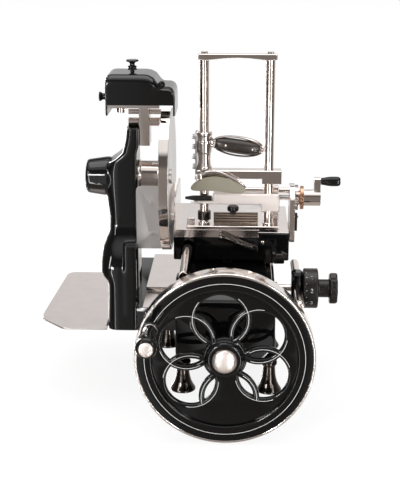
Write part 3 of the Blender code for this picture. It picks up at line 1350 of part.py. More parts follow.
def feed_bracket(carrier):
    """The upright at the carriage's right that holds the feed screw and its guide bar."""
    left = CARRIAGE_RIGHT + SEAT_GAP
    front = CARRIAGE_FRONT + 0.001
    rear = 0.333
    bottom = 0.148
    shoulder = 0.232
    top = 0.252
    head_front = 0.272
    head_rear = 0.308
    outline = [(front, bottom), (rear, bottom), (rear, shoulder), (head_rear, top),
               (head_front, top), (front, shoulder)]
    upright = plate("feed_bracket", "YZ", outline, left, BRACKET_RIGHT, 0.001)
    bar = rod("bar", (left + OVERRUN, FEED_Y, GUIDE_BAR_Z), (GUIDE_BAR_LEFT, FEED_Y, GUIDE_BAR_Z),
              GUIDE_BAR_RADIUS, 20)
    pawl_pin = rod("pawl_pin", (BRACKET_RIGHT - OVERRUN, FEED_Y, PAWL_Z),
                   (BRACKET_RIGHT + 0.0085, FEED_Y, PAWL_Z), PAWL_PIN, 12)
    fuse(upright, bar, pawl_pin)
    bore = rod("bore", (left - OVERRUN, FEED_Y, FEED_Z), (BRACKET_RIGHT + OVERRUN, FEED_Y, FEED_Z),
               FEED_SCREW_RADIUS + RUNNING_GAP, 20)
    cut(upright, bore)
    return finish(upright, WARM_STEEL, carrier)


def pawl_arm(carrier):
    """The pawl that hangs below the ratchet, with its weighted black tip."""
    left = BRACKET_RIGHT + 0.0015
    thickness = 0.005
    half = 0.006
    tip_z = 0.160
    eye = 0.008
    outline = [(FEED_Y - half * 0.7, tip_z), (FEED_Y + half * 0.7, tip_z),
               (FEED_Y + half, PAWL_Z)]
    outline += arc((FEED_Y, PAWL_Z), eye, 0, 180, 8)
    outline += [(FEED_Y - half, PAWL_Z)]
    arm = plate("pawl_arm", "YZ", outline, left, left + thickness)
    bore = rod("bore", (left - OVERRUN, FEED_Y, PAWL_Z), (left + thickness + OVERRUN, FEED_Y, PAWL_Z),
               PAWL_PIN + RUNNING_GAP, 12)
    cut(arm, bore)
    return finish(arm, BLACKENED, carrier)


def feed_screw(carrier):
    """The feed screw, plain here where its thread runs in the table's nut."""
    chamfer = 0.001
    piece = rod("feed_screw", (FEED_SCREW_LEFT, FEED_Y, FEED_Z), (FEED_SCREW_RIGHT, FEED_Y, FEED_Z),
                FEED_SCREW_RADIUS, 20, chamfer)
    return finish(piece, STEEL, carrier)


def ratchet_wheel(carrier):
    """The toothed wheel that clicks at each step of the feed."""
    tip_radius = 0.025
    root_radius = 0.0235
    width = 0.006
    start = BRACKET_RIGHT + SLIDING_GAP
    wheel = gear_disc("ratchet_wheel", (start, FEED_Y, FEED_Z), (1, 0, 0),
                      FEED_SCREW_RADIUS + SEAT_GAP, root_radius, tip_radius, width, 12)
    return finish(wheel, NICKEL, carrier)


def index_disc(carrier):
    """The copper-coloured disc between the ratchet and the crank."""
    radius = 0.023
    neck = 0.014
    start = BRACKET_RIGHT + SLIDING_GAP + 0.006 + SEAT_GAP
    neck_width = 0.004
    width = 0.0065
    profile = [(neck, 0), (neck, neck_width), (radius, neck_width),
               (radius, neck_width + width), (FEED_SCREW_RADIUS + SEAT_GAP, neck_width + width),
               (FEED_SCREW_RADIUS + SEAT_GAP, 0)]
    disc = turned("index_disc", (start, FEED_Y, FEED_Z), (1, 0, 0), profile, 20, closed=True)
    return finish(disc, BRASS, carrier)


def feed_crank(carrier):
    """The feed's hub and crank arm."""
    hub_start = 0.1485
    hub_end = 0.181
    hub_radius = 0.016
    arm_left = 0.168
    arm_half = 0.0085
    top = FEED_Z + FEED_CRANK_THROW
    hub = turned("feed_crank", (hub_start, FEED_Y, FEED_Z), (1, 0, 0),
                 [(0, 0), (hub_radius, 0), (hub_radius, hub_end - hub_start),
                  (0, hub_end - hub_start)], 18)
    arm_shape = [(FEED_Y - arm_half * 1.3, FEED_Z), (FEED_Y + arm_half * 1.3, FEED_Z)]
    arm_shape += arc((FEED_Y, top), arm_half, 0, 180, 8)
    arm = plate("arm", "YZ", arm_shape, arm_left, hub_end - OVERRUN / 8)
    spindle = rod("spindle", (arm_left + OVERRUN, FEED_Y, top),
                  (FEED_GRIP_END + 0.001, FEED_Y, top), FEED_SPINDLE, 12)
    fuse(hub, arm, spindle)
    socket = rod("socket", (hub_start - OVERRUN, FEED_Y, FEED_Z),
                 (FEED_SCREW_RIGHT + SEAT_GAP, FEED_Y, FEED_Z),
                 FEED_SCREW_RADIUS + SEAT_GAP, 20)
    cut(hub, socket)
    return finish(hub, NICKEL, carrier)


def feed_crank_grip(carrier):
    """The black grip on the feed crank."""
    start = 0.181 + RUNNING_GAP
    radius = 0.0095
    bore = FEED_SPINDLE + RUNNING_GAP
    length = FEED_GRIP_END - start
    shares = [(0.72, 0.0), (0.76, 0.10), (0.92, 0.22), (1.0, 0.50), (1.0, 0.88), (0.8, 1.0)]
    profile = [(radius * across, length * along) for across, along in shares]
    profile += [(bore, length), (bore, 0)]
    grip = turned("feed_crank_grip", (start, FEED_Y, FEED_Z + FEED_CRANK_THROW), (1, 0, 0),
                  profile, 20, closed=True)
    return finish(grip, GRIP_BLACK, carrier)


def meat_table(carrier):
    """The table that feeds the food across, with its nut, its stop and the rods' seats."""
    left = -0.080
    right = 0.100
    front = 0.247
    rear = 0.436
    low = PLATE_TOP + SEAT_GAP
    table = block("meat_table", (left, front, low), (right, rear, TABLE_TOP), 0.001)
    nut_left = 0.088
    nut_right = 0.0995
    nut_front = FEED_Y - 0.010
    nut_rear = FEED_Y + 0.010
    nut_top = GUIDE_BAR_Z + 0.009
    nut = block("nut", (nut_left, nut_front, TABLE_TOP - OVERRUN / 2),
                (nut_right, nut_rear, nut_top), 0.001)
    stop_width = 0.016
    stop_front = 0.250
    stop_depth = 0.018
    stop_top = 0.194
    stop = block("stop", (left + 0.002, stop_front, TABLE_TOP - OVERRUN / 2),
                 (left + stop_width, stop_front + stop_depth, stop_top), 0.001)
    fuse(table, nut, stop)
    screw_bore = rod("screw_bore", (nut_left - OVERRUN, FEED_Y, FEED_Z),
                     (nut_right + OVERRUN, FEED_Y, FEED_Z), FEED_SCREW_RADIUS + RUNNING_GAP, 20)
    bar_bore = rod("bar_bore", (nut_left - OVERRUN, FEED_Y, GUIDE_BAR_Z),
                   (nut_right + OVERRUN, FEED_Y, GUIDE_BAR_Z), GUIDE_BAR_RADIUS + RUNNING_GAP, 20)
    cut(table, screw_bore, bar_bore)
    return finish(table, WARM_STEEL, carrier)


def press_rod(name, rod_x, carrier):
    """One of the two upright rods that the press slides on."""
    collar_radius = 0.012
    collar = 0.005
    start = TABLE_TOP + SEAT_GAP
    length = PRESS_TOP - start
    profile = [(0, 0), (collar_radius, 0), (collar_radius, collar), (PRESS_ROD_RADIUS, collar),
               (PRESS_ROD_RADIUS, length), (0, length)]
    piece = turned(name, (rod_x, PRESS_ROD_Y, start), (0, 0, 1), profile, 18)
    return finish(piece, NICKEL, carrier)


def rod_nut(carrier):
    """The knurled nut round the left rod."""
    inner = PRESS_ROD_RADIUS + SEAT_GAP
    outer = 0.013
    groove = 0.0012
    knurls = 14
    bottom = 0.189
    height = 0.017
    outline = []
    for step in range(2 * knurls):
        radius = outer if step % 2 else outer - groove
        angle = math.pi * step / knurls
        outline.append((LEFT_ROD_X + radius * math.cos(angle),
                        PRESS_ROD_Y + radius * math.sin(angle)))
    nut = plate("rod_nut", "XY", outline, bottom, bottom + height)
    cut(nut, rod("bore", (LEFT_ROD_X, PRESS_ROD_Y, bottom - OVERRUN),
                 (LEFT_ROD_X, PRESS_ROD_Y, bottom + height + OVERRUN), inner, 24))
    return finish(nut, DARK_IRON, carrier)


def press_top_bar(carrier):
    """The arched bar that joins the tops of the rods, with its two nuts."""
    left = -0.057
    right = 0.091
    front = PRESS_ROD_Y - 0.008
    rear = PRESS_ROD_Y + 0.008
    low = PRESS_TOP + SEAT_GAP
    thickness = 0.011
    arch = 0.004
    arch_shares = [0.16, 0.24, 0.35, 0.5, 0.65, 0.76, 0.84]
    span = right - left
    outline = [(left, low), (left + span * arch_shares[0], low)]
    outline += [(left + span * share, low + arch * math.sin(math.pi * (share - 0.16) / 0.68))
                for share in arch_shares[1:-1]]
    outline += [(left + span * arch_shares[-1], low), (right, low), (right, low + thickness),
                (left, low + thickness)]
    bar = plate("press_top_bar", "XZ", outline, front, rear, 0.001)
    nut_radius = 0.0065
    nut = 0.004
    for rod_x in (LEFT_ROD_X, RIGHT_ROD_X):
        fuse(bar, rod("nut", (rod_x, PRESS_ROD_Y, low + thickness - nut),
                      (rod_x, PRESS_ROD_Y, low + thickness + nut), nut_radius, 6))
    return finish(bar, NICKEL, carrier)


def rod_bores(thing, bottom, top, gap, rods):
    """Bore a piece for the press rods."""
    for rod_x in rods:
        cut(thing, rod("bore", (rod_x, PRESS_ROD_Y, bottom - OVERRUN),
                       (rod_x, PRESS_ROD_Y, top + OVERRUN), PRESS_ROD_RADIUS + gap, 18))


def lower_tie_bar(carrier):
    """The bar that ties the rods together above the table."""
    front = PRESS_ROD_Y - 0.014
    rear = PRESS_ROD_Y + 0.014
    left = -0.065
    step = -0.029
    right = 0.100
    strip_bottom = 0.2225
    strip_top = 0.230
    main_top = 0.243
    block_left = 0.064
    block_bottom = 0.208
    outline = [(left, strip_bottom), (block_left, strip_bottom), (block_left, block_bottom),
               (right, block_bottom), (right, main_top), (step, main_top), (step, strip_top),
               (left, strip_top)]
    bar = plate("lower_tie_bar", "XZ", outline, front, rear, 0.0015)
    rod_bores(bar, block_bottom, main_top, SEAT_GAP, (LEFT_ROD_X, RIGHT_ROD_X))
    return finish(bar, WARM_STEEL, carrier)


def stop_peg(carrier):
    """The black peg that lies on the tie bar's left end."""
    radius = 0.005
    left = -0.066
    right = -0.0305
    tip = 0.016
    bar_front = PRESS_ROD_Y - 0.014
    place = (left, bar_front - radius * 0.2, 0.230 + SEAT_GAP + radius)
    profile = [(0, -tip), (radius * 0.5, -tip), (radius, 0), (radius, right - left),
               (0, right - left)]
    peg = turned("stop_peg", place, (1, 0, 0), profile, 14)
    return finish(peg, BLACKENED, carrier)


def press_slide(carrier):
    """The sliding frame of the press: crossbar, left arm and the bow round the grip."""
    cross_left = -0.0595
    cross_right = 0.103
    cross_bottom = 0.273
    cross_top = 0.289
    front = PRESS_ROD_Y - 0.013
    rear = PRESS_ROD_Y + 0.013
    arm_left = -0.0595
    arm_right = -0.030
    arm_top = 0.362
    slide = block("press_slide", (cross_left, front, cross_bottom), (cross_right, rear, cross_top),
                  0.001)
    foot_left = 0.066
    foot_bottom = 0.263
    foot = block("foot", (foot_left, front, foot_bottom), (cross_right, rear, cross_top), 0.001)
    arm = block("arm", (arm_left, front + 0.001, cross_bottom + OVERRUN),
                (arm_right, rear - 0.001, arm_top), 0.003)
    fuse(slide, foot, arm)

    bow_left = arm_right - OVERRUN
    bow_right = 0.067
    bow_middle = (bow_left + bow_right) / 2
    bow_half = (bow_right - bow_left) / 2
    bow_height = 0.0215
    bow_wall = 0.0035
    bow_depth = 0.005
    outer = []
    inner = []
    for step in range(24):
        angle = math.tau * step / 24
        outer.append((bow_middle + bow_half * math.cos(angle),
                      GRIP_Z + bow_height * math.sin(angle)))
        inner.append((bow_middle + (bow_half - 2 * bow_wall) * math.cos(angle),
                      GRIP_Z + (bow_height - bow_wall) * math.sin(angle)))
    bow = plate("bow", "XZ", outer, PRESS_ROD_Y - bow_depth, PRESS_ROD_Y + bow_depth)
    cut(bow, plate("inside", "XZ", inner, PRESS_ROD_Y - bow_depth - OVERRUN,
                   PRESS_ROD_Y + bow_depth + OVERRUN))
    core = rod("core", (arm_right - OVERRUN, PRESS_ROD_Y, GRIP_Z),
               (bow_right - bow_wall, PRESS_ROD_Y, GRIP_Z), GRIP_CORE, 12)
    fuse(bow, core)
    fuse(slide, bow)
    pin = rod("pin", (LEAF_X, front + OVERRUN, LEAF_Z), (LEAF_X, LEAF_FRONT - 0.003, LEAF_Z),
              LEAF_PIN, 12)
    fuse(slide, pin)
    rod_bores(slide, foot_bottom, arm_top, RUNNING_GAP, (LEFT_ROD_X,))
    rod_bores(slide, foot_bottom, cross_top, RUNNING_GAP, (RIGHT_ROD_X,))
    return finish(slide, NICKEL, carrier)


def press_grip(carrier):
    """The black oval grip inside the bow."""
    left = -0.024
    right = 0.058
    half = (right - left) / 2
    widest = 0.0145
    steps = 8
    profile = []
    for step in range(steps + 1):
        angle = math.pi * step / steps
        radius = max(widest * math.sin(angle) ** 0.7, GRIP_CORE + 4 * RUNNING_GAP)
        profile.append((radius, half * (1 - math.cos(angle))))
    bore = GRIP_CORE + RUNNING_GAP
    profile += [(bore, 2 * half), (bore, 0)]
    grip = turned("press_grip", (left, PRESS_ROD_Y, GRIP_Z), (1, 0, 0), profile, 16, closed=True)
    return finish(grip, GRIP_BLACK, carrier)


def spike_plate(carrier):
    """The plate whose spikes hold the food, beside the press's left arm."""
    right = -0.0598
    thickness = 0.003
    left = right - thickness
    front = 0.249
    rear = 0.300
    bottom = 0.282
    top = 0.360
    corner = 0.012
    outline = [(front, bottom), (rear, bottom)]
    outline += arc((rear - corner, top - corner), corner, 0, 90, 3)
    outline += arc((front + corner, top - corner), corner, 90, 180, 3)
    piece = plate("spike_plate", "YZ", outline, left, right)
    spike_radius = 0.003
    spike = 0.010
    rows = 4
    columns = 3
    for row in range(rows):
        for column in range(columns):
            place_y = front + (rear - front) * (column + 0.5) / columns
            place_z = bottom + (top - bottom) * (row + 0.5) / rows
            fuse(piece, turned("spike", (left + thickness / 2, place_y, place_z), (-1, 0, 0),
                               [(0, 0), (spike_radius, 0), (0, spike)], 6))
    return finish(piece, STEEL, carrier)


def leaf_lever(carrier):
    """The leaf-shaped lever that swings on the press's pin."""
    thickness = 0.004
    length = 0.096
    droop = 0.014
    eye = 0.009
    upper_shares = [(0.10, 0.14), (0.25, 0.175), (0.45, 0.165), (0.65, 0.10), (0.85, 0.0),
                    (0.96, -0.09)]
    lower_shares = [(1.0, -0.17), (0.90, -0.235), (0.65, -0.215), (0.40, -0.165),
                    (0.15, -0.13)]
    outline = arc((LEAF_X, LEAF_Z), eye, 230, 110, 6)
    outline += [(LEAF_X + length * along, LEAF_Z + length * up) for along, up in upper_shares]
    outline += [(LEAF_X + length * along, LEAF_Z + length * up) for along, up in lower_shares]
    leaf = plate("leaf_lever", "XZ", outline, LEAF_FRONT, LEAF_FRONT + thickness, 0.0006)
    cut(leaf, rod("bore", (LEAF_X, LEAF_FRONT - OVERRUN, LEAF_Z),
                  (LEAF_X, LEAF_FRONT + thickness + OVERRUN, LEAF_Z), LEAF_PIN + RUNNING_GAP, 12))
    return finish(leaf, NICKEL, carrier)


def clamp_plate(carrier):
    """The ribbed plate that stands on the front of the table."""
    left = -0.027
    right = 0.059
    front = 0.2485
    depth = 0.009
    groove = 0.002
    low = TABLE_TOP + SEAT_GAP
    height = 0.026
    shares = [0.30, 0.40, 0.50, 0.60, 0.70, 0.80, 0.90]
    outline = [(front + depth, low), (front + depth, low + height), (front, low + height)]
    for number, share in enumerate(reversed(shares)):
        inset = groove if number % 2 == 0 else 0
        outline.append((front + inset, low + height * share))
    outline.append((front, low))
    piece = plate("clamp_plate", "YZ", outline, left, right)
    return finish(piece, STEEL, carrier)


def clamp_knob(carrier):
    """The black knob on the clamp plate."""
    radius = 0.0115
    neck = 0.006
    neck_height = 0.003
    height = 0.013
    low = TABLE_TOP + 0.026 + 2 * SEAT_GAP
    profile = [(0, 0), (neck, 0), (neck, neck_height), (radius * 0.9, neck_height),
               (radius, neck_height * 2), (radius, height * 0.8), (radius * 0.8, height),
               (0, height)]
    knob = turned("clamp_knob", (0.0105, 0.2535, low), (0, 0, 1), profile, 12)
    return finish(knob, GRIP_BLACK, carrier)


def cam_rod(root):
    """The bright rod beside the base and the short arm that carries it."""
    front = 0.045
    rear = 0.309
    radius = 0.00825
    taper = 0.012
    arm_radius = 0.0065
    arm_left = BASE_RIGHT + SEAT_GAP
    flange_radius = 0.011
    flange = 0.004
    length = rear - front
    profile = [(0, 0), (radius * 0.6, 0), (radius, taper), (radius, length - radius)]
    profile += [(radius * math.cos(math.radians(angle)),
                 length - radius + radius * math.sin(math.radians(angle))) for angle in (35, 65)]
    profile += [(0, length)]
    bar = turned("cam_rod", (CAM_ROD_X, front, DIAL_Z), (0, 1, 0), profile, 16)
    arm = rod("arm", (arm_left, DIAL_Y, DIAL_Z), (CAM_ROD_X, DIAL_Y, DIAL_Z), arm_radius, 16)
    seat = rod("seat", (arm_left, DIAL_Y, DIAL_Z), (arm_left + flange, DIAL_Y, DIAL_Z),
               flange_radius, 20)
    fuse(bar, arm, seat)
    return finish(bar, WARM_STEEL, root)


def dial_bracket(root):
    """The black bracket that the thickness dial turns against."""
    left = 0.1215
    right = DIAL_LEFT - RUNNING_GAP
    front = 0.132
    rear = 0.162
    bottom = 0.050
    top = 0.122
    bracket = block("dial_bracket", (left, front, bottom), (right, rear, top), 0.005, 1)
    post = rod("post", (right - OVERRUN, DIAL_Y, DIAL_Z), (DIAL_POST_END, DIAL_Y, DIAL_Z),
               DIAL_POST, 16)
    fuse(bracket, post)
    radius = 0.00825 + SEAT_GAP
    rod_hole = rod("rod_hole", (CAM_ROD_X, front - OVERRUN, DIAL_Z),
                   (CAM_ROD_X, rear + OVERRUN, DIAL_Z), radius, 24)
    arm_hole = rod("arm_hole", (left - OVERRUN, DIAL_Y, DIAL_Z), (CAM_ROD_X, DIAL_Y, DIAL_Z),
                   0.0065 + SEAT_GAP, 20)
    cut(bracket, rod_hole, arm_hole)
    return finish(bracket, GLOSS_BLACK, root)


def thickness_dial(carrier):
    """The dial that sets the slice, with its numbered drum and scalloped knob."""
    drum_radius = 0.0375
    drum = 0.027
    neck_radius = 0.017
    neck_end = 0.049
    knob_radius = 0.030
    knob_depth = 0.003
    total = 0.0635
    chamfer = 0.002
    bore = DIAL_POST + RUNNING_GAP
    bore_depth = DIAL_POST_END - DIAL_LEFT + SLIDING_GAP
    profile = [(bore, 0), (drum_radius - chamfer, 0), (drum_radius, chamfer),
               (drum_radius, drum - chamfer), (drum_radius - chamfer, drum),
               (neck_radius, drum), (neck_radius, neck_end + OVERRUN), (0, neck_end + OVERRUN),
               (0, bore_depth), (bore, bore_depth)]
    dial = turned("thickness_dial", (DIAL_LEFT, DIAL_Y, DIAL_Z), (1, 0, 0), profile, 24,
                  closed=True)
    outline = []
    lobes = 8
    steps = 4
    for step in range(lobes * steps):
        angle = math.tau * step / (lobes * steps)
        radius = knob_radius - knob_depth * (1 - math.cos(lobes * angle)) / 2
        outline.append((DIAL_Y + radius * math.cos(angle), DIAL_Z + radius * math.sin(angle)))
    knob = plate("knob", "YZ", outline, DIAL_LEFT + neck_end, DIAL_LEFT + total)
    fuse(dial, knob)
    return finish(dial, BLACKENED, carrier)


def build():
    """Build the slicer under its root empty, each moving body under an empty on its axis."""
    clear_scene()
    root = pivot("wheel_centre", (WHEEL_X, WHEEL_Y, SHAFT_HEIGHT))
    base_casting(root)
    for name in FOOT_PLACES:
        foot(name, root)
    right_rail(root)
    left_guide_rod(root)
    receiving_deck(root)
    slice_tray(root)
    column_casting(root)
    column_cover(root)
    knife_bearing_housing(root)
    guard_ring(root)
    front_guard_plate(root)
    sharpener_bracket(root)
    sharpener_housing(root)
    honing_knob(root)
    cam_rod(root)
    dial_bracket(root)

    wheel = pivot("wheel_pivot", (0, 0, 0), root)
    flywheel(wheel)
    flywheel_hub_cap(wheel)
    flywheel_shaft(wheel)
    handle_spindle(wheel)
    handle = pivot("handle_pivot", (-HANDLE_X, 0, HANDLE_Z), wheel)
    handle_grip(handle)
    crank_gear(pivot("crank_pivot", (0, CRANK_Y, 0), root))
    cross_shaft(pivot("cross_pivot", (0, CROSS_SHAFT_Y, 0), root))
    drive_chain(root)
    knife_pivot = pivot("knife_pivot", (0, KNIFE_Y, KNIFE_Z), root)
    knife_shaft(knife_pivot)
    knife(knife_pivot)
    lift = pivot("sharpener_pivot", (SHARPENER_KNOB_X, STONE_Y, SHARPENER_TOP), root)
    sharpener_knob(lift)
    stone("grinding_stone", STONE_PLACE, 0.017, pivot("grinding_pivot", (0, *STONE_PLACE), lift))
    stone("honing_stone", HONE_PLACE, 0.010, pivot("honing_pivot", (0, *HONE_PLACE), lift))
    grinding_knob(pivot("side_knob_pivot", (SHARPENER_LEFT, STONE_Y, SIDE_KNOB_Z), root))

    carriage = pivot("carriage_pivot", (0, CARRIAGE_FRONT, CARRIAGE_BOTTOM), root)
    carriage_casting(carriage)
    carriage_top_plate(carriage)
    carriage_fence(carriage)
    feed_bracket(carriage)
    carriage_roller(pivot("roller_pivot", (0, ROLLER_Y, ROLLER_Z), carriage))
    carriage_lever(pivot("lever_pivot", (LEVER_X, CARRIAGE_FRONT, LEVER_Z), carriage))
    connecting_rod(pivot("connecting_rod_pivot", (0, LUG_Y, CONNECTING_ROD_BOTTOM), carriage))
    pawl_arm(pivot("pawl_pivot", (BRACKET_RIGHT, FEED_Y, PAWL_Z), carriage))
    feed = pivot("feed_pivot", (BRACKET_RIGHT, FEED_Y, FEED_Z), carriage)
    feed_screw(feed)
    ratchet_wheel(feed)
    index_disc(feed)
    feed_crank(feed)
    feed_crank_grip(pivot("feed_grip_pivot", (FEED_GRIP_END, FEED_Y, FEED_Z + FEED_CRANK_THROW),
                          feed))
    table = pivot("table_pivot", (0, PRESS_ROD_Y, TABLE_TOP), carriage)
    meat_table(table)
    press_rod("press_rod_left", LEFT_ROD_X, table)
    press_rod("press_rod_right", RIGHT_ROD_X, table)
    press_top_bar(table)
    rod_nut(table)
    lower_tie_bar(table)
    stop_peg(table)
    clamp_plate(table)
    clamp_knob(pivot("clamp_pivot", (0.0105, 0.2535, TABLE_TOP), table))
    press = pivot("press_pivot", (0, PRESS_ROD_Y, GRIP_Z), table)
    press_slide(press)
    press_grip(press)
    spike_plate(press)
    leaf_lever(pivot("leaf_pivot", (LEAF_X, LEAF_FRONT, LEAF_Z), press))
    thickness_dial(pivot("dial_pivot", (DIAL_LEFT, DIAL_Y, DIAL_Z), root))


build()
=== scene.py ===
# %% [markdown]
# # A hand-cranked meat slicer
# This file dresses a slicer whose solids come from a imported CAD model. Every cell below makes one
# part of the look: first the frame and the camera, then the light, then the finishes, and last the
# pieces that give the castings, the wheel and the fittings their fine form. Five solids inside the
# machine, which no view shows well, keep their CAD form and only get a finish.

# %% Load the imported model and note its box
import json
import math

import bmesh
import bpy
import numpy as np
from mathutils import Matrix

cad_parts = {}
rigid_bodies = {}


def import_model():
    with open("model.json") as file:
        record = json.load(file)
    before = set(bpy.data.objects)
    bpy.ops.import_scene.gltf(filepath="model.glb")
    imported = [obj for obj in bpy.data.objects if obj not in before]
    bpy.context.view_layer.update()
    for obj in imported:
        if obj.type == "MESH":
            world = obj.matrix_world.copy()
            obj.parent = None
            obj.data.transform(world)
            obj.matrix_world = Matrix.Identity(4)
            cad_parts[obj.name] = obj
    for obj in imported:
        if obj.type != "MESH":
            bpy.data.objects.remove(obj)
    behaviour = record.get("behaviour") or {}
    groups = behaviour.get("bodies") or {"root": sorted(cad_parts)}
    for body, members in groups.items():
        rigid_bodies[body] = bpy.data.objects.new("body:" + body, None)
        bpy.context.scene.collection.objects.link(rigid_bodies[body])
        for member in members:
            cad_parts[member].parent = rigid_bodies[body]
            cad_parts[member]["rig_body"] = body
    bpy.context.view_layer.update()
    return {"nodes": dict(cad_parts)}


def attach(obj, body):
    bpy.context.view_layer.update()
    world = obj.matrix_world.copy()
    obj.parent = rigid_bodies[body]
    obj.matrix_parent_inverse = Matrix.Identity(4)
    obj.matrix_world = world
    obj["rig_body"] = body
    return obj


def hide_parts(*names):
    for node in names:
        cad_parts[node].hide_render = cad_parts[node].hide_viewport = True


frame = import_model()
print("nodes in the frame:", len(frame["nodes"]))

# %% [markdown]
# ## The camera
# The photograph looks down on the machine by about 17 degrees and a little from its right. A long
# lens keeps the castings' uprights nearly parallel. The sensor is fitted to the picture's height,
# so that the frame stays the same whatever shape of picture the renderer is set to.

# %% Camera


def in_scene(name, data):
    """A new object with its data, in the scene's collection."""
    thing = bpy.data.objects.new(name, data)
    bpy.context.scene.collection.objects.link(thing)
    return thing


CAMERA_PLACE = (0.1020, -2.0728, 0.9426)
CAMERA_DOWN = 17.05
CAMERA_TURN = 2.2
LENS = 81.0
SENSOR = 36.0
camera_data = bpy.data.cameras.new("view")
camera_data.lens = LENS
camera_data.sensor_fit = "VERTICAL"
camera_data.sensor_height = SENSOR
camera = in_scene("view", camera_data)
camera.location = CAMERA_PLACE
camera.rotation_euler = (math.radians(90 - CAMERA_DOWN), 0, math.radians(CAMERA_TURN))
bpy.context.scene.camera = camera
print("camera", CAMERA_PLACE)

# %% [markdown]
# ## Floor and light
# The machine stands on white in a light tent. Polished metal and gloss enamel only look right when
# they have something to mirror, and here upright surfaces mirror the floor, because the camera
# looks down. So one look, made from the direction of a ray alone, serves both the world and the
# floor for mirrored rays: white fields with warm dark bands between them, and a few narrow bright
# strips that give enamel edges their thin white lines. Everything else sees an even white.

# %% The tent's look by direction
FLOOR_HALF = 30.0
# place round the machine in degrees, 0 towards the camera and negative to the left; brightness
TENT_BANDS = [(-180, 0.75), (-150, 0.60), (-106, 0.25), (-88, 0.07), (-64, 0.06), (-47, 0.22),
              (-36, 0.70), (-16, 0.80), (-9, 0.50), (-4, 0.22), (6, 0.20), (14, 0.85), (32, 0.92),
              (40, 0.45), (48, 0.09), (74, 0.12), (106, 0.33), (150, 0.85), (180, 0.80)]
TENT_STRIPS = [(-180, 0), (-151, 0), (-150.5, 1), (-149, 1), (-148.5, 0), (-31, 0), (-30.5, 1),
               (-28.7, 1), (-28.2, 0), (27.5, 0), (28, 1), (29.5, 1), (30, 0), (180, 0)]
# height of the direction, -1 to 1; share of the roof's own look, and that look's brightness
TENT_RISE = [(-1.0, 1.0), (-0.70, 1.0), (-0.50, 0.0), (0.38, 0.0), (0.47, 1.0), (1.0, 1.0)]
TENT_ROOF = [(-1.0, 0.45), (0.0, 0.30), (0.45, 0.12), (0.68, 0.10), (0.78, 0.95), (1.0, 1.0)]
STRIP_STRENGTH = 28.0
WARM_DARK = (1.0, 0.90, 0.82)
NEUTRAL = (1.0, 1.0, 1.0)
WHITE = (1, 1, 1, 1)


def feed(tree, node, inputs):
    """Gives a node's inputs, by name or number, a value each or a link from a socket."""
    for socket, value in inputs.items():
        if isinstance(value, bpy.types.NodeSocket):
            tree.links.new(value, node.inputs[socket])
        else:
            node.inputs[socket].default_value = value


def add_node(tree, kind, inputs=None, **settings):
    """A new shader node of a kind with its settings and its inputs."""
    node = tree.nodes.new("ShaderNode" + kind)
    for setting, value in settings.items():
        setattr(node, setting, value)
    feed(tree, node, inputs or {})
    return node


def math_node(tree, operation, *values):
    """The result socket of a Math node on values or sockets."""
    node = add_node(tree, "Math", dict(enumerate(values)), operation=operation)
    return node.outputs["Value"]


def node_material(name):
    """A material with an empty node tree, its Principled shader and its output."""
    material = bpy.data.materials.new(name)
    material.use_nodes = True
    tree = material.node_tree
    tree.nodes.clear()
    shader = add_node(tree, "BsdfPrincipled")
    add_node(tree, "OutputMaterial", {"Surface": shader.outputs["BSDF"]})
    return material, tree, shader


def ramp(tree, share, stops, low, high):
    """A colour ramp's result for stops, each a place between low and high and a brightness."""
    node = add_node(tree, "ValToRGB", {"Fac": share})
    elements = node.color_ramp.elements
    while len(elements) > 1:
        elements.remove(elements[-1])
    for index, (place, value) in enumerate(stops):
        position = (place - low) / (high - low)
        element = elements[0] if index == 0 else elements.new(position)
        element.position = position
        tint = WARM_DARK if value < 0.5 else NEUTRAL
        element.color = (value * tint[0], value * tint[1], value * tint[2], 1)
    return node.outputs["Color"]


def tent_look(tree, direction):
    """Nodes that turn a direction socket into the colour that the tent shows there."""
    split = add_node(tree, "SeparateXYZ", {"Vector": direction}).outputs
    turn = math_node(tree, "ARCTAN2", split["X"], math_node(tree, "MULTIPLY", split["Y"], -1.0))
    share = math_node(tree, "ADD", math_node(tree, "DIVIDE", turn, math.tau), 0.5)
    height = math_node(tree, "ADD", math_node(tree, "MULTIPLY", split["Z"], 0.5), 0.5)
    strips = ramp(tree, share, TENT_STRIPS, -180, 180)
    lit = add_node(tree, "VectorMath", {0: strips, "Scale": STRIP_STRENGTH}, operation="SCALE")
    bands = ramp(tree, share, TENT_BANDS, -180, 180)
    walls = add_node(tree, "VectorMath", {0: bands, 1: lit.outputs["Vector"]}, operation="ADD")
    blend = add_node(tree, "MixRGB", {"Fac": ramp(tree, height, TENT_RISE, -1, 1),
                                      "Color1": walls.outputs["Vector"],
                                      "Color2": ramp(tree, height, TENT_ROOF, -1, 1)})
    return blend.outputs["Color"]


# %% World
WORLD_WHITE = 1.05
world = bpy.data.worlds.new("tent")
bpy.context.scene.world = world
world.use_nodes = True
tent = world.node_tree
tent.nodes.clear()
even_light = add_node(tent, "Background", {"Color": WHITE, "Strength": WORLD_WHITE})
tent_way = add_node(tent, "TexCoord").outputs["Generated"]
mirrored_light = add_node(tent, "Background", {"Color": tent_look(tent, tent_way)})
tent_choice = add_node(tent, "MixShader", {
    "Fac": add_node(tent, "LightPath").outputs["Is Glossy Ray"],
    1: even_light.outputs["Background"], 2: mirrored_light.outputs["Background"]})
add_node(tent, "OutputWorld", {"Surface": tent_choice.outputs["Shader"]})
print("nodes of the tent", len(tent.nodes))

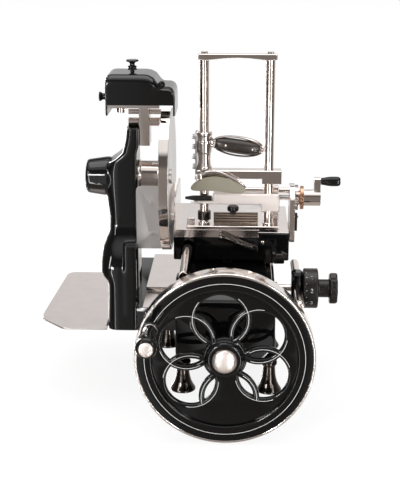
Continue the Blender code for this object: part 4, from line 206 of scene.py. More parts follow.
# %% Floor
CAMERA_WHITE = 0.85
FLOOR_GREY = (0.93, 0.93, 0.93, 1)
floor_mesh = bpy.data.meshes.new("floor")
floor_mesh.from_pydata([(-FLOOR_HALF, -FLOOR_HALF, 0), (FLOOR_HALF, -FLOOR_HALF, 0),
                        (FLOOR_HALF, FLOOR_HALF, 0), (-FLOOR_HALF, FLOOR_HALF, 0)],
                       [], [(0, 1, 2, 3)])
floor = in_scene("floor", floor_mesh)
floor_material, floor_tree, floor_shader = node_material("pale_floor")
feed(floor_tree, floor_shader, {"Base Color": FLOOR_GREY, "Roughness": 0.9,
                                "Specular IOR Level": 0.0})
ray_kind = add_node(floor_tree, "LightPath").outputs
incoming = add_node(floor_tree, "NewGeometry").outputs["Incoming"]
floor_way = add_node(floor_tree, "VectorMath", {0: incoming, "Scale": -1.0}, operation="SCALE")
mirrored = add_node(floor_tree, "Emission",
                    {"Color": tent_look(floor_tree, floor_way.outputs["Vector"])})
floor_choice = add_node(floor_tree, "MixShader", {
    "Fac": ray_kind["Is Glossy Ray"], 1: floor_shader.outputs["BSDF"],
    2: mirrored.outputs["Emission"]})
floor_white = add_node(floor_tree, "Emission", {"Color": WHITE})
floor_look = add_node(floor_tree, "MixShader", {
    "Fac": math_node(floor_tree, "MULTIPLY", ray_kind["Is Camera Ray"], CAMERA_WHITE),
    1: floor_choice.outputs["Shader"], 2: floor_white.outputs["Emission"]})
feed(floor_tree, floor_tree.nodes["Material Output"], {"Surface": floor_look.outputs["Shader"]})
floor_mesh.materials.append(floor_material)
print("floor nodes", len(floor_tree.nodes))

# %% Softboxes
AIM = (0.0, 0.0, 0.33)
SOFTBOXES = {
    # name: place, width, height, watts
    "overhead": ((0.0, 0.1, 2.2), 2.0, 1.4, 16),
    "drum_light": ((-1.50, -2.6, 1.33), 0.80, 0.26, 26),
    "front_left": ((-1.5, -1.4, 1.3), 0.14, 1.0, 9),
    "front_right": ((1.6, -1.3, 1.2), 0.12, 1.0, 7),
}


def softbox(name, place, width, height, power):
    """A rectangular lamp at a place, turned to face the middle of the machine."""
    data = bpy.data.lights.new(name, "AREA")
    data.shape = "RECTANGLE"
    data.size = width
    data.size_y = height
    data.energy = power
    lamp = in_scene(name, data)
    offset = np.array(AIM) - np.array(place)
    flat = math.hypot(offset[0], offset[1])
    lamp.location = place
    lamp.rotation_euler = (math.atan2(flat, -offset[2]), 0,
                           math.atan2(offset[1], offset[0]) - math.pi / 2)


for lamp_name, lamp_values in SOFTBOXES.items():
    softbox(lamp_name, *lamp_values)
bpy.context.scene.view_settings.view_transform = "Standard"
print("softboxes", len(SOFTBOXES))

# %% [markdown]
# ## The finishes
# Four finishes make up nearly the whole machine: stoved gloss enamel, polished nickel plating,
# ground steel and black lacquer. On the real thing none of them is even. Enamel has a faint
# orange peel, plating carries fine polishing scratches, ground steel has grain along one way.
# An image of scratches would repeat and could tear at seams. So each effect is a node group on
# Object coordinates, placed in a material with its own values.

# %% Node groups: fine unevenness, and grain along one way
DARK_TINT = (0.35, 0.32, 0.30, 1)


def node_group(name, inputs, outputs):
    """A shader node group, the sockets that feed it and the node that takes its results."""
    group = bpy.data.node_groups.new(name, "ShaderNodeTree")
    kinds = {"number": "NodeSocketFloat", "colour": "NodeSocketColor", "vector": "NodeSocketVector"}
    for socket, kind, value in inputs:
        made = group.interface.new_socket(socket, in_out="INPUT", socket_type=kinds[kind])
        made.default_value = value
    for socket, kind in outputs:
        group.interface.new_socket(socket, in_out="OUTPUT", socket_type=kinds[kind])
    entry = group.nodes.new("NodeGroupInput")
    return group, entry.outputs, group.nodes.new("NodeGroupOutput")


def unevenness_group():
    """Soft noise in Object coordinates: a tint that varies, a roughness that varies and a height."""
    group, entry, leave = node_group(
        "unevenness",
        [("Scale", "number", 60.0), ("Colour", "colour", WHITE), ("Tint", "number", 0.1),
         ("Roughness", "number", 0.2), ("Spread", "number", 0.1)],
        [("Colour", "colour"), ("Roughness", "number"), ("Height", "number")])
    place = add_node(group, "TexCoord").outputs["Object"]
    noise = add_node(group, "TexNoise", {"Vector": place, "Scale": entry["Scale"],
                                         "Detail": 5.0}).outputs["Fac"]
    centred = math_node(group, "SUBTRACT", noise, 0.5)
    darker = add_node(group, "MixRGB", {"Fac": math_node(group, "MULTIPLY", noise, entry["Tint"]),
                                        "Color1": entry["Colour"], "Color2": DARK_TINT},
                      blend_type="MULTIPLY")
    feed(group, leave, {
        "Colour": darker.outputs["Color"], "Height": noise,
        "Roughness": math_node(group, "MULTIPLY_ADD", centred, entry["Spread"], entry["Roughness"])})
    return group


def grain_group():
    """Noise stretched along one axis, as grinding leaves it: a roughness and a height."""
    group, entry, leave = node_group(
        "grain",
        [("Scale", "number", 900.0), ("Stretch", "vector", (0.03, 1.0, 1.0)),
         ("Roughness", "number", 0.3), ("Spread", "number", 0.2)],
        [("Roughness", "number"), ("Height", "number")])
    place = add_node(group, "TexCoord").outputs["Object"]
    squeezed = add_node(group, "VectorMath", {0: place, 1: entry["Stretch"]}, operation="MULTIPLY")
    noise = add_node(group, "TexNoise", {"Vector": squeezed.outputs["Vector"],
                                         "Scale": entry["Scale"], "Detail": 3.0}).outputs["Fac"]
    feed(group, leave, {
        "Height": noise,
        "Roughness": math_node(group, "MULTIPLY_ADD", noise, entry["Spread"], entry["Roughness"])})
    return group


UNEVENNESS = unevenness_group()
GRAIN = grain_group()
print("node groups", UNEVENNESS.name, GRAIN.name)

# %% Materials


def relief(tree, height, distance):
    """A normal socket for a height socket that lifts the surface by up to distance metres."""
    return add_node(tree, "Bump", {"Height": height, "Distance": distance}).outputs["Normal"]


def uneven_finish(name, colour, metallic, roughness, spread=0.06, tint=0.1, scale=60.0,
                  bump=0.0, gloss=0.5):
    """A finish whose colour, roughness and surface vary softly. Gloss is its specular level."""
    material, tree, shader = node_material(name)
    made = add_node(tree, "Group", {"Scale": scale, "Colour": (*colour, 1), "Tint": tint,
                                    "Roughness": roughness, "Spread": spread},
                    node_tree=UNEVENNESS).outputs
    feed(tree, shader, {"Base Color": made["Colour"], "Roughness": made["Roughness"],
                        "Metallic": metallic, "Specular IOR Level": gloss})
    if bump:
        feed(tree, shader, {"Normal": relief(tree, made["Height"], bump)})
    return material


def grain_finish(name, colour, roughness, stretch=(0.03, 1.0, 1.0), spread=0.16, bump=0.00001):
    """Ground metal: fine lines along the axis whose stretch is small."""
    material, tree, shader = node_material(name)
    made = add_node(tree, "Group", {"Stretch": stretch, "Roughness": roughness, "Spread": spread},
                    node_tree=GRAIN).outputs
    feed(tree, shader, {"Base Color": (*colour, 1), "Roughness": made["Roughness"],
                        "Metallic": 1.0, "Normal": relief(tree, made["Height"], bump)})
    return material


UNEVEN = {
    # key: name, colour, metallic, roughness, its spread, tint, scale, bump in metres, gloss
    "enamel": ("black_enamel", (0.0028, 0.0028, 0.0030), 0.0, 0.045, 0.03, 0.1, 30.0, 0.000004),
    "nickel": ("polished_nickel", (0.86, 0.79, 0.75), 1.0, 0.07, 0.08, 0.12, 90.0),
    "warm_steel": ("polished_steel", (0.88, 0.80, 0.765), 1.0, 0.13, 0.10, 0.10, 40.0),
    "dark_nickel": ("dark_plating", (0.085, 0.075, 0.068), 1.0, 0.15, 0.10, 0.25, 70.0),
    "blackened": ("blackened_steel", (0.035, 0.031, 0.030), 0.7, 0.30, 0.12, 0.2, 120.0, 0.00002),
    "copper": ("copper_tone", (0.62, 0.36, 0.24), 1.0, 0.26, 0.15, 0.35, 110.0),
    "stone": ("abrasive_stone", (0.30, 0.17, 0.11), 0.0, 0.85, 0.1, 0.5, 900.0, 0.0002),
    "satin": ("satin_nickel", (0.88, 0.80, 0.76), 1.0, 0.42, 0.06, 0.06, 60.0),
    "bronze": ("dark_bronze", (0.016, 0.013, 0.012), 0.35, 0.26, 0.10, 0.25, 160.0, 0.00001),
    "olive": ("olive_plate", (0.31, 0.285, 0.22), 0.35, 0.36, 0.08, 0.12, 50.0),
    "horn": ("dark_horn", (0.030, 0.023, 0.018), 0.0, 0.26, 0.10, 0.55, 70.0),
    "ribbed": ("brown_plating", (0.34, 0.27, 0.22), 1.0, 0.24, 0.10, 0.25, 80.0),
    "tread": ("polished_tread", (0.90, 0.84, 0.80), 1.0, 0.10, 0.06, 0.08, 60.0),
    "pinstripe": ("pinstripe_paint", (0.82, 0.82, 0.81), 0.0, 0.35, 0.1, 0.1, 200.0),
    "lacquer": ("black_lacquer", (0.006, 0.0055, 0.005), 0.0, 0.12, 0.06, 0.1, 60.0, 0.00001, 0.3),
}
MATERIALS = {key: uneven_finish(*values) for key, values in UNEVEN.items()}
MATERIALS["steel"] = grain_finish("ground_steel", (0.72, 0.69, 0.67), 0.20)
MATERIALS["brushed"] = grain_finish("brushed_plate", (0.42, 0.40, 0.39), 0.28, (1.0, 1.0, 0.03))
print("materials", len(MATERIALS))

# %% [markdown]
# ## Castings and machined pieces
# Every cast or machined edge on a real slicer is broken by the polishing wheel, and the thin white
# lines on the black enamel are lamps caught by those rounded edges. Most pieces could be drawn
# again by formula, but their solids have the right form already and only lack those edges. So a
# copy of each solid is merged, its flat faces are joined again, and a small Bevel modifier rounds
# its edges. Round faces get smooth normals. The copy then stands for the CAD node.

# %% Refined copies of the solids
SHARP_ANGLE = math.radians(34)
FLAT_ANGLE = math.radians(0.6)
MERGE_DISTANCE = 0.00002
BEVEL_STEPS = 3
pieces = {}


def merged_mesh(node, name):
    """A copy of a CAD node's mesh with doubled points merged and flat faces joined."""
    mesh = frame["nodes"][node].data.copy()
    mesh.name = name
    work = bmesh.new()
    work.from_mesh(mesh)
    bmesh.ops.remove_doubles(work, verts=work.verts, dist=MERGE_DISTANCE)
    bmesh.ops.dissolve_limit(work, angle_limit=FLAT_ANGLE, verts=work.verts, edges=work.edges)
    work.to_mesh(mesh)
    work.free()
    return mesh


def finished(mesh, material, angle=SHARP_ANGLE):
    """Gives a mesh one finish and smooth faces between edges sharper than an angle."""
    mesh.materials.clear()
    mesh.materials.append(MATERIALS[material])
    mesh.shade_smooth()
    mesh.set_sharp_from_angle(angle=angle)
    return mesh


def rounded(piece, width, angle=SHARP_ANGLE):
    """Rounds a piece's edges by width metres with a Bevel modifier."""
    rounding = piece.modifiers.new("rounding", "BEVEL")
    rounding.width = width
    rounding.segments = BEVEL_STEPS
    rounding.limit_method = "ANGLE"
    rounding.angle_limit = angle
    rounding.harden_normals = True


def stands_for(piece, node):
    """Lets a piece ride on a CAD node's body and replace the node, and notes it in pieces."""
    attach(piece, frame["nodes"][node]["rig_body"])
    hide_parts(node)
    pieces[node] = piece
    return piece


def refined(node, material, bevel):
    """A merged copy of a CAD node with its edges rounded by bevel metres."""
    piece = in_scene(node + "_look", finished(merged_mesh(node, node + "_look"), material))
    if bevel:
        rounded(piece, bevel)
    return stands_for(piece, node)


REFINED = {
    # node: finish, rounding in metres
    "base_casting": ("enamel", 0.0015),
    "column_cover": ("enamel", 0.0008),
    "carriage_casting": ("enamel", 0.0012),
    "dial_bracket": ("enamel", 0.0010),
    "right_rail": ("nickel", 0.0006),
    "left_guide_rod": ("nickel", 0.0005),
    "receiving_deck": ("warm_steel", 0.0006),
    "slice_tray": ("warm_steel", 0.0005),
    "knife_bearing_housing": ("nickel", 0.0010),
    "knife": ("steel", 0.0),
    "knife_shaft": ("steel", 0.0003),
    "guard_ring": ("nickel", 0.0006),
    "front_guard_plate": ("brushed", 0.0008),
    "sharpener_bracket": ("warm_steel", 0.0008),
    "grinding_stone": ("stone", 0.0004),
    "honing_stone": ("stone", 0.0004),
    "honing_knob": ("lacquer", 0.0006),
    "carriage_top_plate": ("warm_steel", 0.0008),
    "carriage_roller": ("steel", 0.0004),
    "carriage_fence": ("warm_steel", 0.0005),
    "feed_bracket": ("warm_steel", 0.0010),
    "feed_screw": ("steel", 0.0003),
    "ratchet_wheel": ("nickel", 0.0003),
    "index_disc": ("copper", 0.0003),
    "feed_crank": ("nickel", 0.0008),
    "pawl_arm": ("blackened", 0.0006),
    "meat_table": ("warm_steel", 0.0008),
    "press_rod_left": ("nickel", 0.0005),
    "press_rod_right": ("nickel", 0.0005),
    "press_top_bar": ("nickel", 0.0008),
    "rod_nut": ("dark_nickel", 0.0005),
    "lower_tie_bar": ("satin", 0.0008),
    "stop_peg": ("blackened", 0.0004),
    "spike_plate": ("brushed", 0.0005),
    "clamp_plate": ("ribbed", 0.0004),
    "clamp_knob": ("lacquer", 0.0004),
}
for node, (finish_name, rounding_width) in REFINED.items():
    refined(node, finish_name, rounding_width)
HIDDEN_WORKS = ["crank_gear", "connecting_rod", "cross_shaft", "drive_chain", "flywheel_shaft"]
for node in HIDDEN_WORKS:
    frame["nodes"][node].data.materials.clear()
    frame["nodes"][node].data.materials.append(MATERIALS["steel"])
print("refined copies", len(pieces))

# %% [markdown]
# ## Surfaces by formula
# Most machined pieces are turned on a lathe: a profile of radius and distance, swept once round an
# axis. The helper below does that sweep for whole arrays of points, so a knob, a dome and the
# wheel's rim all come from a short profile. `smooth_profile` rounds a profile's corners first.
# Every table of places below is measured in metres from the centre of the flywheel.

# %% Lathe and mesh helpers
LATHE_STEPS = 72
WHEEL_CENTRE = np.array((0.0745, -0.2150, 0.1665))
WELD_DISTANCE = 0.000005
TO_RIGHT, TO_LEFT, TO_BACK, TO_FRONT, UPWARD = (
    (1, 0, 0), (-1, 0, 0), (0, 1, 0), (0, -1, 0), (0, 0, 1))


def surface(name, points, faces, materials, face_materials=None):
    """A mesh object from arrays of points and faces, smooth except at sharp edges."""
    mesh = bpy.data.meshes.new(name)
    mesh.from_pydata(np.asarray(points).tolist(), [],
                     faces if isinstance(faces, list) else faces.tolist())
    for material in materials:
        mesh.materials.append(MATERIALS[material])
    if face_materials is not None:
        mesh.polygons.foreach_set("material_index", np.asarray(face_materials, dtype=np.int32))
    mesh.shade_smooth()
    mesh.set_sharp_from_angle(angle=SHARP_ANGLE)
    return in_scene(name, mesh)


def grid_faces(rows, count, rows_closed=False, count_closed=True):
    """Faces between neighbouring rows of count points; a closed way ends where it begins."""
    row, step = np.meshgrid(np.arange(rows if rows_closed else rows - 1),
                            np.arange(count if count_closed else count - 1), indexing="ij")
    below = (row + 1) % rows
    aside = (step + 1) % count
    return np.stack([row * count + step, row * count + aside, below * count + aside,
                     below * count + step], axis=-1).reshape(-1, 4)


def capped_faces(rows, count):
    """Faces of a stack of closed outlines with count points each, and a face over each end."""
    ends = [list(range(count))[::-1], [(rows - 1) * count + index for index in range(count)]]
    return grid_faces(rows, count).tolist() + ends


def left_of(path, closed):
    """Unit vectors square to a flat path, on its left."""
    ahead = np.roll(path, -1, axis=0) - np.roll(path, 1, axis=0)
    if not closed:
        ahead[0] = path[1] - path[0]
        ahead[-1] = path[-1] - path[-2]
    ahead /= np.linalg.norm(ahead, axis=1)[:, None]
    return np.stack([-ahead[:, 1], ahead[:, 0]], axis=1)


def corner_arc(before, corner, after, radius, steps=4):
    """Points that round one corner of a profile by a quadratic curve tangent to both sides."""
    before, corner, after = (np.array(point, float) for point in (before, corner, after))
    way_in = before - corner
    way_out = after - corner
    reach = min(radius, 0.48 * np.linalg.norm(way_in), 0.48 * np.linalg.norm(way_out))
    start = corner + way_in / max(np.linalg.norm(way_in), 1e-9) * reach
    end = corner + way_out / max(np.linalg.norm(way_out), 1e-9) * reach
    share = np.linspace(0, 1, steps + 1)[:, None]
    return (1 - share) ** 2 * start + 2 * share * (1 - share) * corner + share ** 2 * end


def smooth_profile(profile, radius, closed=False):
    """A profile with its corners rounded by about radius metres. Ends on the axis stay."""
    rows = [tuple(point) for point in profile]
    count = len(rows)
    made = []
    for number, point in enumerate(rows):
        inner = closed or 0 < number < count - 1
        if inner and radius > 0:
            made.extend(corner_arc(rows[number - 1], point, rows[(number + 1) % count], radius))
        else:
            made.append(np.array(point, float))
    return np.array(made)


def axes_of(toward):
    """Two unit vectors square to a direction, and the direction itself."""
    toward = np.array(toward, float) / np.linalg.norm(toward)
    helper = np.array((0, 0, 1.0)) if abs(toward[2]) < 0.9 else np.array((1.0, 0, 0))
    across = np.cross(helper, toward)
    across /= np.linalg.norm(across)
    return across, np.cross(toward, across), toward


def swept(profile, start, toward, closed=False, steps=LATHE_STEPS, wave=None):
    """Points and faces of a profile turned round an axis.

    A point is start + toward * along + (across * cos(turn) + upward * sin(turn)) * radius, with
    the radius multiplied by wave(turn, radius, along) where a wave is given.
    """
    profile = np.asarray(profile, float)
    rows = len(profile)
    turn = np.linspace(0, math.tau, steps, endpoint=False)
    across, upward, toward = axes_of(toward)
    radius = np.repeat(profile[:, 0][:, None], steps, axis=1)
    along = np.repeat(profile[:, 1][:, None], steps, axis=1)
    if wave is not None:
        radius = radius * wave(turn[None, :], radius, along)
    ring = (across[None, None] * np.cos(turn)[None, :, None]
            + upward[None, None] * np.sin(turn)[None, :, None])
    points = np.asarray(start, float) + toward * along[..., None] + ring * radius[..., None]
    return points.reshape(-1, 3), grid_faces(rows, steps, closed)


def turned(profile, rounding, start, toward, closed=False, steps=LATHE_STEPS):
    """Points and faces of a profile whose corners are rounded, turned round an axis."""
    return swept(smooth_profile(profile, rounding, closed), start, toward, closed, steps)


def joined(shapes):
    """One array of points and one list of faces from several, and which shape each face is of."""
    points, faces, owner, start = [], [], [], 0
    for number, (shape_points, shape_faces) in enumerate(shapes):
        points.append(np.asarray(shape_points))
        faces.extend([[int(index) + start for index in face] for face in shape_faces])
        owner.extend([number] * len(shape_faces))
        start += len(shape_points)
    return np.concatenate(points), faces, np.array(owner)


def cleaned(piece):
    """Merges the points that fall together on an axis and turns every face outward."""
    work = bmesh.new()
    work.from_mesh(piece.data)
    bmesh.ops.remove_doubles(work, verts=work.verts, dist=WELD_DISTANCE)
    bmesh.ops.dissolve_degenerate(work, edges=work.edges, dist=WELD_DISTANCE)
    bmesh.ops.recalc_face_normals(work, faces=work.faces)
    work.to_mesh(piece.data)
    work.free()
    piece.data.shade_smooth()
    piece.data.set_sharp_from_angle(angle=SHARP_ANGLE)
    return piece


def built(name, shapes_by_finish):
    """A piece from shapes measured from the wheel's centre, listed by their finish."""
    groups = list(shapes_by_finish.values())
    points, faces, owner = joined([shape for group in groups for shape in group])
    finish_of = np.repeat(np.arange(len(groups)), [len(group) for group in groups])
    return cleaned(surface(name, points + WHEEL_CENTRE, faces, list(shapes_by_finish),
                           finish_of[owner]))


def shown(node, shapes_by_finish):
    """The visible piece of a CAD node."""
    return stands_for(built(node + "_look", shapes_by_finish), node)


print("steps round a turned piece", LATHE_STEPS)

# %% [markdown]
# ## The flywheel
# On the real machine it is one iron casting: a deep rim turned bright on its tread, a black ring
# on its face, and behind that a web pierced by six petals whose circles cross in six narrow
# lenses. The ribs between the openings are rounded like cord. It could be a Boolean of discs, but
# then every rib edge would be faceted, so the web is a filled outline with a round bevel, and the
# rim and hub are swept. The white pinstripes are thin painted bands: one on the ring, and one
# along each petal's circle.

# %% Flywheel web, rim, hub and stripes
RIM_RADIUS = 0.1625
RIM_DEPTH = 0.038
RING_INNER = 0.1290
WEB_FRONT = 0.007
WEB_BACK = 0.019
RIB_ROUND = 0.0043
PETAL_RADIUS = 0.050
PETAL_DISTANCE = 0.0756
PETAL_HUB = 0.040
RIB_HALF = 0.005
LENS_INSET = 0.006
BARE_PETAL = 4
PETAL_TURN = math.radians(36.0)
STRIPE_HALF = 0.00042
STRIPE_LIFT = 0.00006
HUB_ROUND = 0.033


def petal_place(number):
    """Centre of a petal's circle in the wheel's own plane."""
    angle = PETAL_TURN + math.tau * number / 6
    return PETAL_DISTANCE * np.array((math.cos(angle), math.sin(angle)))


def crossing(first, first_radius, second, second_radius):
    """The two points where two circles cross."""
    first = np.asarray(first, float)
    span = np.asarray(second, float) - first
    distance = np.linalg.norm(span)
    along = (first_radius ** 2 - second_radius ** 2 + distance ** 2) / (2 * distance)
    aside = math.sqrt(first_radius ** 2 - along ** 2)
    middle = first + span * along / distance
    normal = np.array((-span[1], span[0])) / distance
    return middle + normal * aside, middle - normal * aside


def arc_between(centre, start, end, steps):
    """The shorter arc round a centre between two points, without its last point."""
    centre = np.asarray(centre, float)
    first = math.atan2(*(np.asarray(start) - centre)[::-1])
    last = math.atan2(*(np.asarray(end) - centre)[::-1])
    turn = (last - first + math.pi) % math.tau - math.pi
    angle = first + turn * np.linspace(0, 1, steps, endpoint=False)
    radius = np.linalg.norm(np.asarray(start) - centre)
    return centre + radius * np.stack([np.cos(angle), np.sin(angle)], axis=1)


def petal_hole(number):
    """Outline of a petal's opening, bounded by its rib, its neighbours' ribs and the hub."""
    own, before, after = (petal_place(number + shift) for shift in (0, -1, 1))
    inside = PETAL_RADIUS - RIB_HALF
    outside = PETAL_RADIUS + RIB_HALF
    far_after = max(crossing(own, inside, after, outside), key=np.linalg.norm)
    far_before = max(crossing(own, inside, before, outside), key=np.linalg.norm)
    near_after = min(crossing((0, 0), PETAL_HUB, after, outside),
                     key=lambda point: np.linalg.norm(point - own))
    near_before = min(crossing((0, 0), PETAL_HUB, before, outside),
                      key=lambda point: np.linalg.norm(point - own))
    far = own * (PETAL_DISTANCE + inside) / PETAL_DISTANCE
    return np.concatenate([arc_between(own, far_before, far, 22),
                           arc_between(own, far, far_after, 22),
                           arc_between(after, far_after, near_after, 18),
                           arc_between((0, 0), near_after, near_before, 8),
                           arc_between(before, near_before, far_before, 18)])


def lens_hole(number):
    """Outline of the narrow opening where a petal's circle crosses the next one's."""
    first = petal_place(number)
    second = petal_place(number + 1)
    radius = PETAL_RADIUS - LENS_INSET
    outer, inner = crossing(first, radius, second, radius)
    return np.concatenate([arc_between(first, outer, inner, 18),
                           arc_between(second, inner, outer, 18)])


def filled_outline(name, outlines, depth, rounding, steps=5):
    """Points and faces of closed outlines filled as one plate with a round bevel."""
    curve = bpy.data.curves.new(name, "CURVE")
    curve.dimensions = "2D"
    curve.fill_mode = "BOTH"
    curve.extrude = depth / 2 - rounding
    curve.bevel_depth = rounding
    curve.bevel_resolution = steps
    curve.offset = -rounding
    for outline in outlines:
        spline = curve.splines.new("POLY")
        spline.points.add(len(outline) - 1)
        flat = np.zeros((len(outline), 4))
        flat[:, :2] = outline
        flat[:, 3] = 1
        spline.points.foreach_set("co", flat.ravel())
        spline.use_cyclic_u = True
    holder = in_scene(name, curve)
    bpy.context.view_layer.update()
    graph = bpy.context.evaluated_depsgraph_get()
    mesh = bpy.data.meshes.new_from_object(holder.evaluated_get(graph))
    points = np.empty(len(mesh.vertices) * 3)
    mesh.vertices.foreach_get("co", points)
    faces = [list(face.vertices) for face in mesh.polygons]
    bpy.data.objects.remove(holder)
    bpy.data.curves.remove(curve)
    bpy.data.meshes.remove(mesh)
    return points.reshape(-1, 3), faces


def round_outline(radius, steps):
    """A circle round the origin as an outline."""
    angle = np.linspace(0, math.tau, steps, endpoint=False)
    return radius * np.stack([np.cos(angle), np.sin(angle)], axis=1)


def ribbon(path, half_width, front, closed=False):
    """A flat painted band along a path in the wheel's plane, facing the viewer."""
    path = np.asarray(path, float)
    side = left_of(path, closed) * half_width
    edges = [(path + side, front + STRIPE_LIFT), (path + side * 0.6, front - STRIPE_LIFT),
             (path - side * 0.6, front - STRIPE_LIFT), (path - side, front + STRIPE_LIFT),
             (path, front + 3 * STRIPE_LIFT)]
    count = len(path)
    points = np.concatenate([np.column_stack([edge[:, 0], np.full(count, level), edge[:, 1]])
                             for edge, level in edges])
    rows = len(edges)
    faces = grid_faces(rows, count, True, closed).tolist()
    if not closed:
        faces.append([row * count for row in range(rows)])
        faces.append([row * count + count - 1 for row in reversed(range(rows))])
    return points, faces


web_outlines = [round_outline(RING_INNER + RIB_ROUND + 0.003, 160)]
web_outlines += [petal_hole(number) for number in range(6) if number != BARE_PETAL]
web_outlines += [lens_hole(number) for number in range(6)]
web_points, web_faces = filled_outline("web", web_outlines, WEB_BACK - WEB_FRONT, RIB_ROUND)
web_middle = (WEB_FRONT + WEB_BACK) / 2
web_points = np.column_stack([web_points[:, 0], web_middle - web_points[:, 2], web_points[:, 1]])

rim_front = [(RING_INNER, WEB_FRONT + 0.002), (RING_INNER + 0.0012, 0.0022),
             (RING_INNER + 0.0040, 0.0002), (RIM_RADIUS - 0.0050, 0.0002),
             (RIM_RADIUS - 0.0046, 0.0007)]
tread_edge = [(RIM_RADIUS - 0.0046, 0.0007), (RIM_RADIUS - 0.0040, 0.0001),
              (RIM_RADIUS - 0.0016, 0.0001), (RIM_RADIUS, 0.0020),
              (RIM_RADIUS, RIM_DEPTH - 0.0012), (RIM_RADIUS - 0.0012, RIM_DEPTH),
              (RIM_RADIUS - 0.0080, RIM_DEPTH)]
rim_back = [(RIM_RADIUS - 0.0080, RIM_DEPTH), (RIM_RADIUS - 0.0095, RIM_DEPTH - 0.0012),
            (RIM_RADIUS - 0.0095, WEB_BACK + 0.003), (RIM_RADIUS - 0.0125, WEB_BACK),
            (RING_INNER, WEB_BACK)]
rim_parts = [smooth_profile(rim_front, 0.0012), smooth_profile(tread_edge, 0.0012),
             smooth_profile(rim_back, 0.0015)]
rim_profile = np.concatenate(rim_parts)
RIM_STEPS = 192
rim_points, rim_faces = swept(rim_profile, (0, 0, 0), TO_BACK, closed=True, steps=RIM_STEPS)
rim_row = np.repeat(np.arange(len(rim_profile)), RIM_STEPS)
tread_start = len(rim_parts[0])
tread_end = tread_start + len(rim_parts[1])
hub = turned([(0.0113, -0.002), (0.0285, -0.002), (0.0315, -0.0005), (HUB_ROUND, 0.003),
              (HUB_ROUND + 0.002, WEB_FRONT - 0.001), (HUB_ROUND + 0.006, WEB_FRONT + 0.002),
              (HUB_ROUND + 0.003, WEB_BACK - 0.002), (HUB_ROUND, WEB_BACK), (HUB_ROUND, 0.040),
              (0.0113, 0.040)], 0.0015, (0, 0, 0), TO_BACK, closed=True, steps=96)
HANDLE_PLACE = np.array((-0.132, 0.0, 0.058))
boss = turned([(0.0063, -0.004), (0.0140, -0.004), (0.0150, -0.003), (0.0150, WEB_FRONT),
               (0.0063, WEB_FRONT)], 0.0008, HANDLE_PLACE, TO_BACK, closed=True, steps=48)

stripes = [ribbon(round_outline(0.1440, 200), STRIPE_HALF, 0.0002, closed=True)]
for petal in range(6):
    middle = petal_place(petal)
    inward = math.atan2(-middle[1], -middle[0])
    for side in (-1, 1):
        last = 101 if petal == BARE_PETAL else 136
        sweep = inward + side * np.linspace(math.radians(36), math.radians(last), 60)
        path = middle + PETAL_RADIUS * np.stack([np.cos(sweep), np.sin(sweep)], axis=1)
        path = path[(np.linalg.norm(path, axis=1) > HUB_ROUND + 0.006)
                    & (np.linalg.norm(path, axis=1) < RING_INNER - 0.004)]
        stripes.append(ribbon(path, STRIPE_HALF, WEB_FRONT))

wheel_points, wheel_faces, _ = joined([(rim_points, rim_faces), hub, boss,
                                       (web_points, web_faces)])
wheel_paint = np.zeros(len(wheel_faces), dtype=np.int32)
wheel_paint[:len(rim_faces)] = (rim_row >= tread_start) & (rim_row < tread_end)
wheel = surface("flywheel_look", wheel_points + WHEEL_CENTRE, wheel_faces, ["enamel", "tread"],
                wheel_paint)
stands_for(cleaned(wheel), "flywheel")
pinstripes = built("flywheel_pinstripes", {"pinstripe": stripes})
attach(pinstripes, frame["nodes"]["flywheel"]["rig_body"])
print("flywheel faces", len(wheel_faces), "stripes", len(stripes))

# %% [markdown]
# ## The column
# The real column is one iron casting under stoved enamel: a broad foot, a neck that is set back and
# leans in towards the top, and a drum for the knife's shaft that flows into the neck with a wide
# fillet. White lines in the photograph run along those rounded flanks. Bevelled plates can't flow
# into each other, so the trunk is lofted from level sections, merged with the drum on a fine grid
# and relaxed, which makes the fillets. The grid leaves ripples that gloss enamel would show, so
# the drum's cone and the trunk's front are trued by formula. Then the hollow and the bores are cut.

# %% Castings: masses merged, relaxed and hollowed
VOXEL = 0.0019
RELAX_ROUNDS = 12
RELAX_FACTOR = 0.5
CAST_SHARP = math.radians(45)


def relaxed_outline(points, rounds=2):
    """A closed outline with its corners cut by a quarter of each side, rounds times."""
    points = np.asarray(points, float)
    for _ in range(rounds):
        following = np.roll(points, -1, axis=0)
        points = np.stack([0.75 * points + 0.25 * following, 0.25 * points + 0.75 * following],
                          axis=1).reshape(-1, 2)
    return points


def cast_plate(outline, front, back, top, steps=9):
    """A plate along Y whose top rounds towards the front.

    At depth y behind the front a quarter circle of radius R has the inset
    R - sqrt(R^2 - (R - y)^2), which moves points down. It acts in full on the top 8 mm and
    fades out at 20 mm.
    """
    outline = np.asarray(outline, float)
    top_share = np.clip((outline[:, 1] - outline[:, 1].max() + 0.02) / 0.012, 0, 1)
    depths = np.append(top * (1 - np.cos(np.linspace(0, math.pi / 2, steps))), back - front)
    inside = np.clip(top - depths, 0, top)
    inset = top - np.sqrt(np.maximum(top ** 2 - inside ** 2, 0))
    rows = [np.column_stack([outline[:, 0], np.full(len(outline), front + depth),
                             outline[:, 1] - drop * top_share])
            for depth, drop in zip(depths, inset)]
    return np.concatenate(rows), capped_faces(len(rows), len(outline))


def crate(low, high):
    """Points and faces of a plain box, used only as a mass or a cutter."""
    points = [(x, y, z) for x in (low[0], high[0]) for y in (low[1], high[1])
              for z in (low[2], high[2])]
    faces = [[0, 1, 3, 2], [4, 6, 7, 5], [0, 4, 5, 1], [2, 3, 7, 6], [0, 2, 6, 4], [1, 5, 7, 3]]
    return np.array(points), faces


def rod(radius, length, start, toward, steps=LATHE_STEPS):
    """A plain cylinder, used as a core or to cut a bore."""
    return turned([(0, 0), (radius, 0), (radius, length), (0, length)], 0, start, toward,
                  steps=steps)


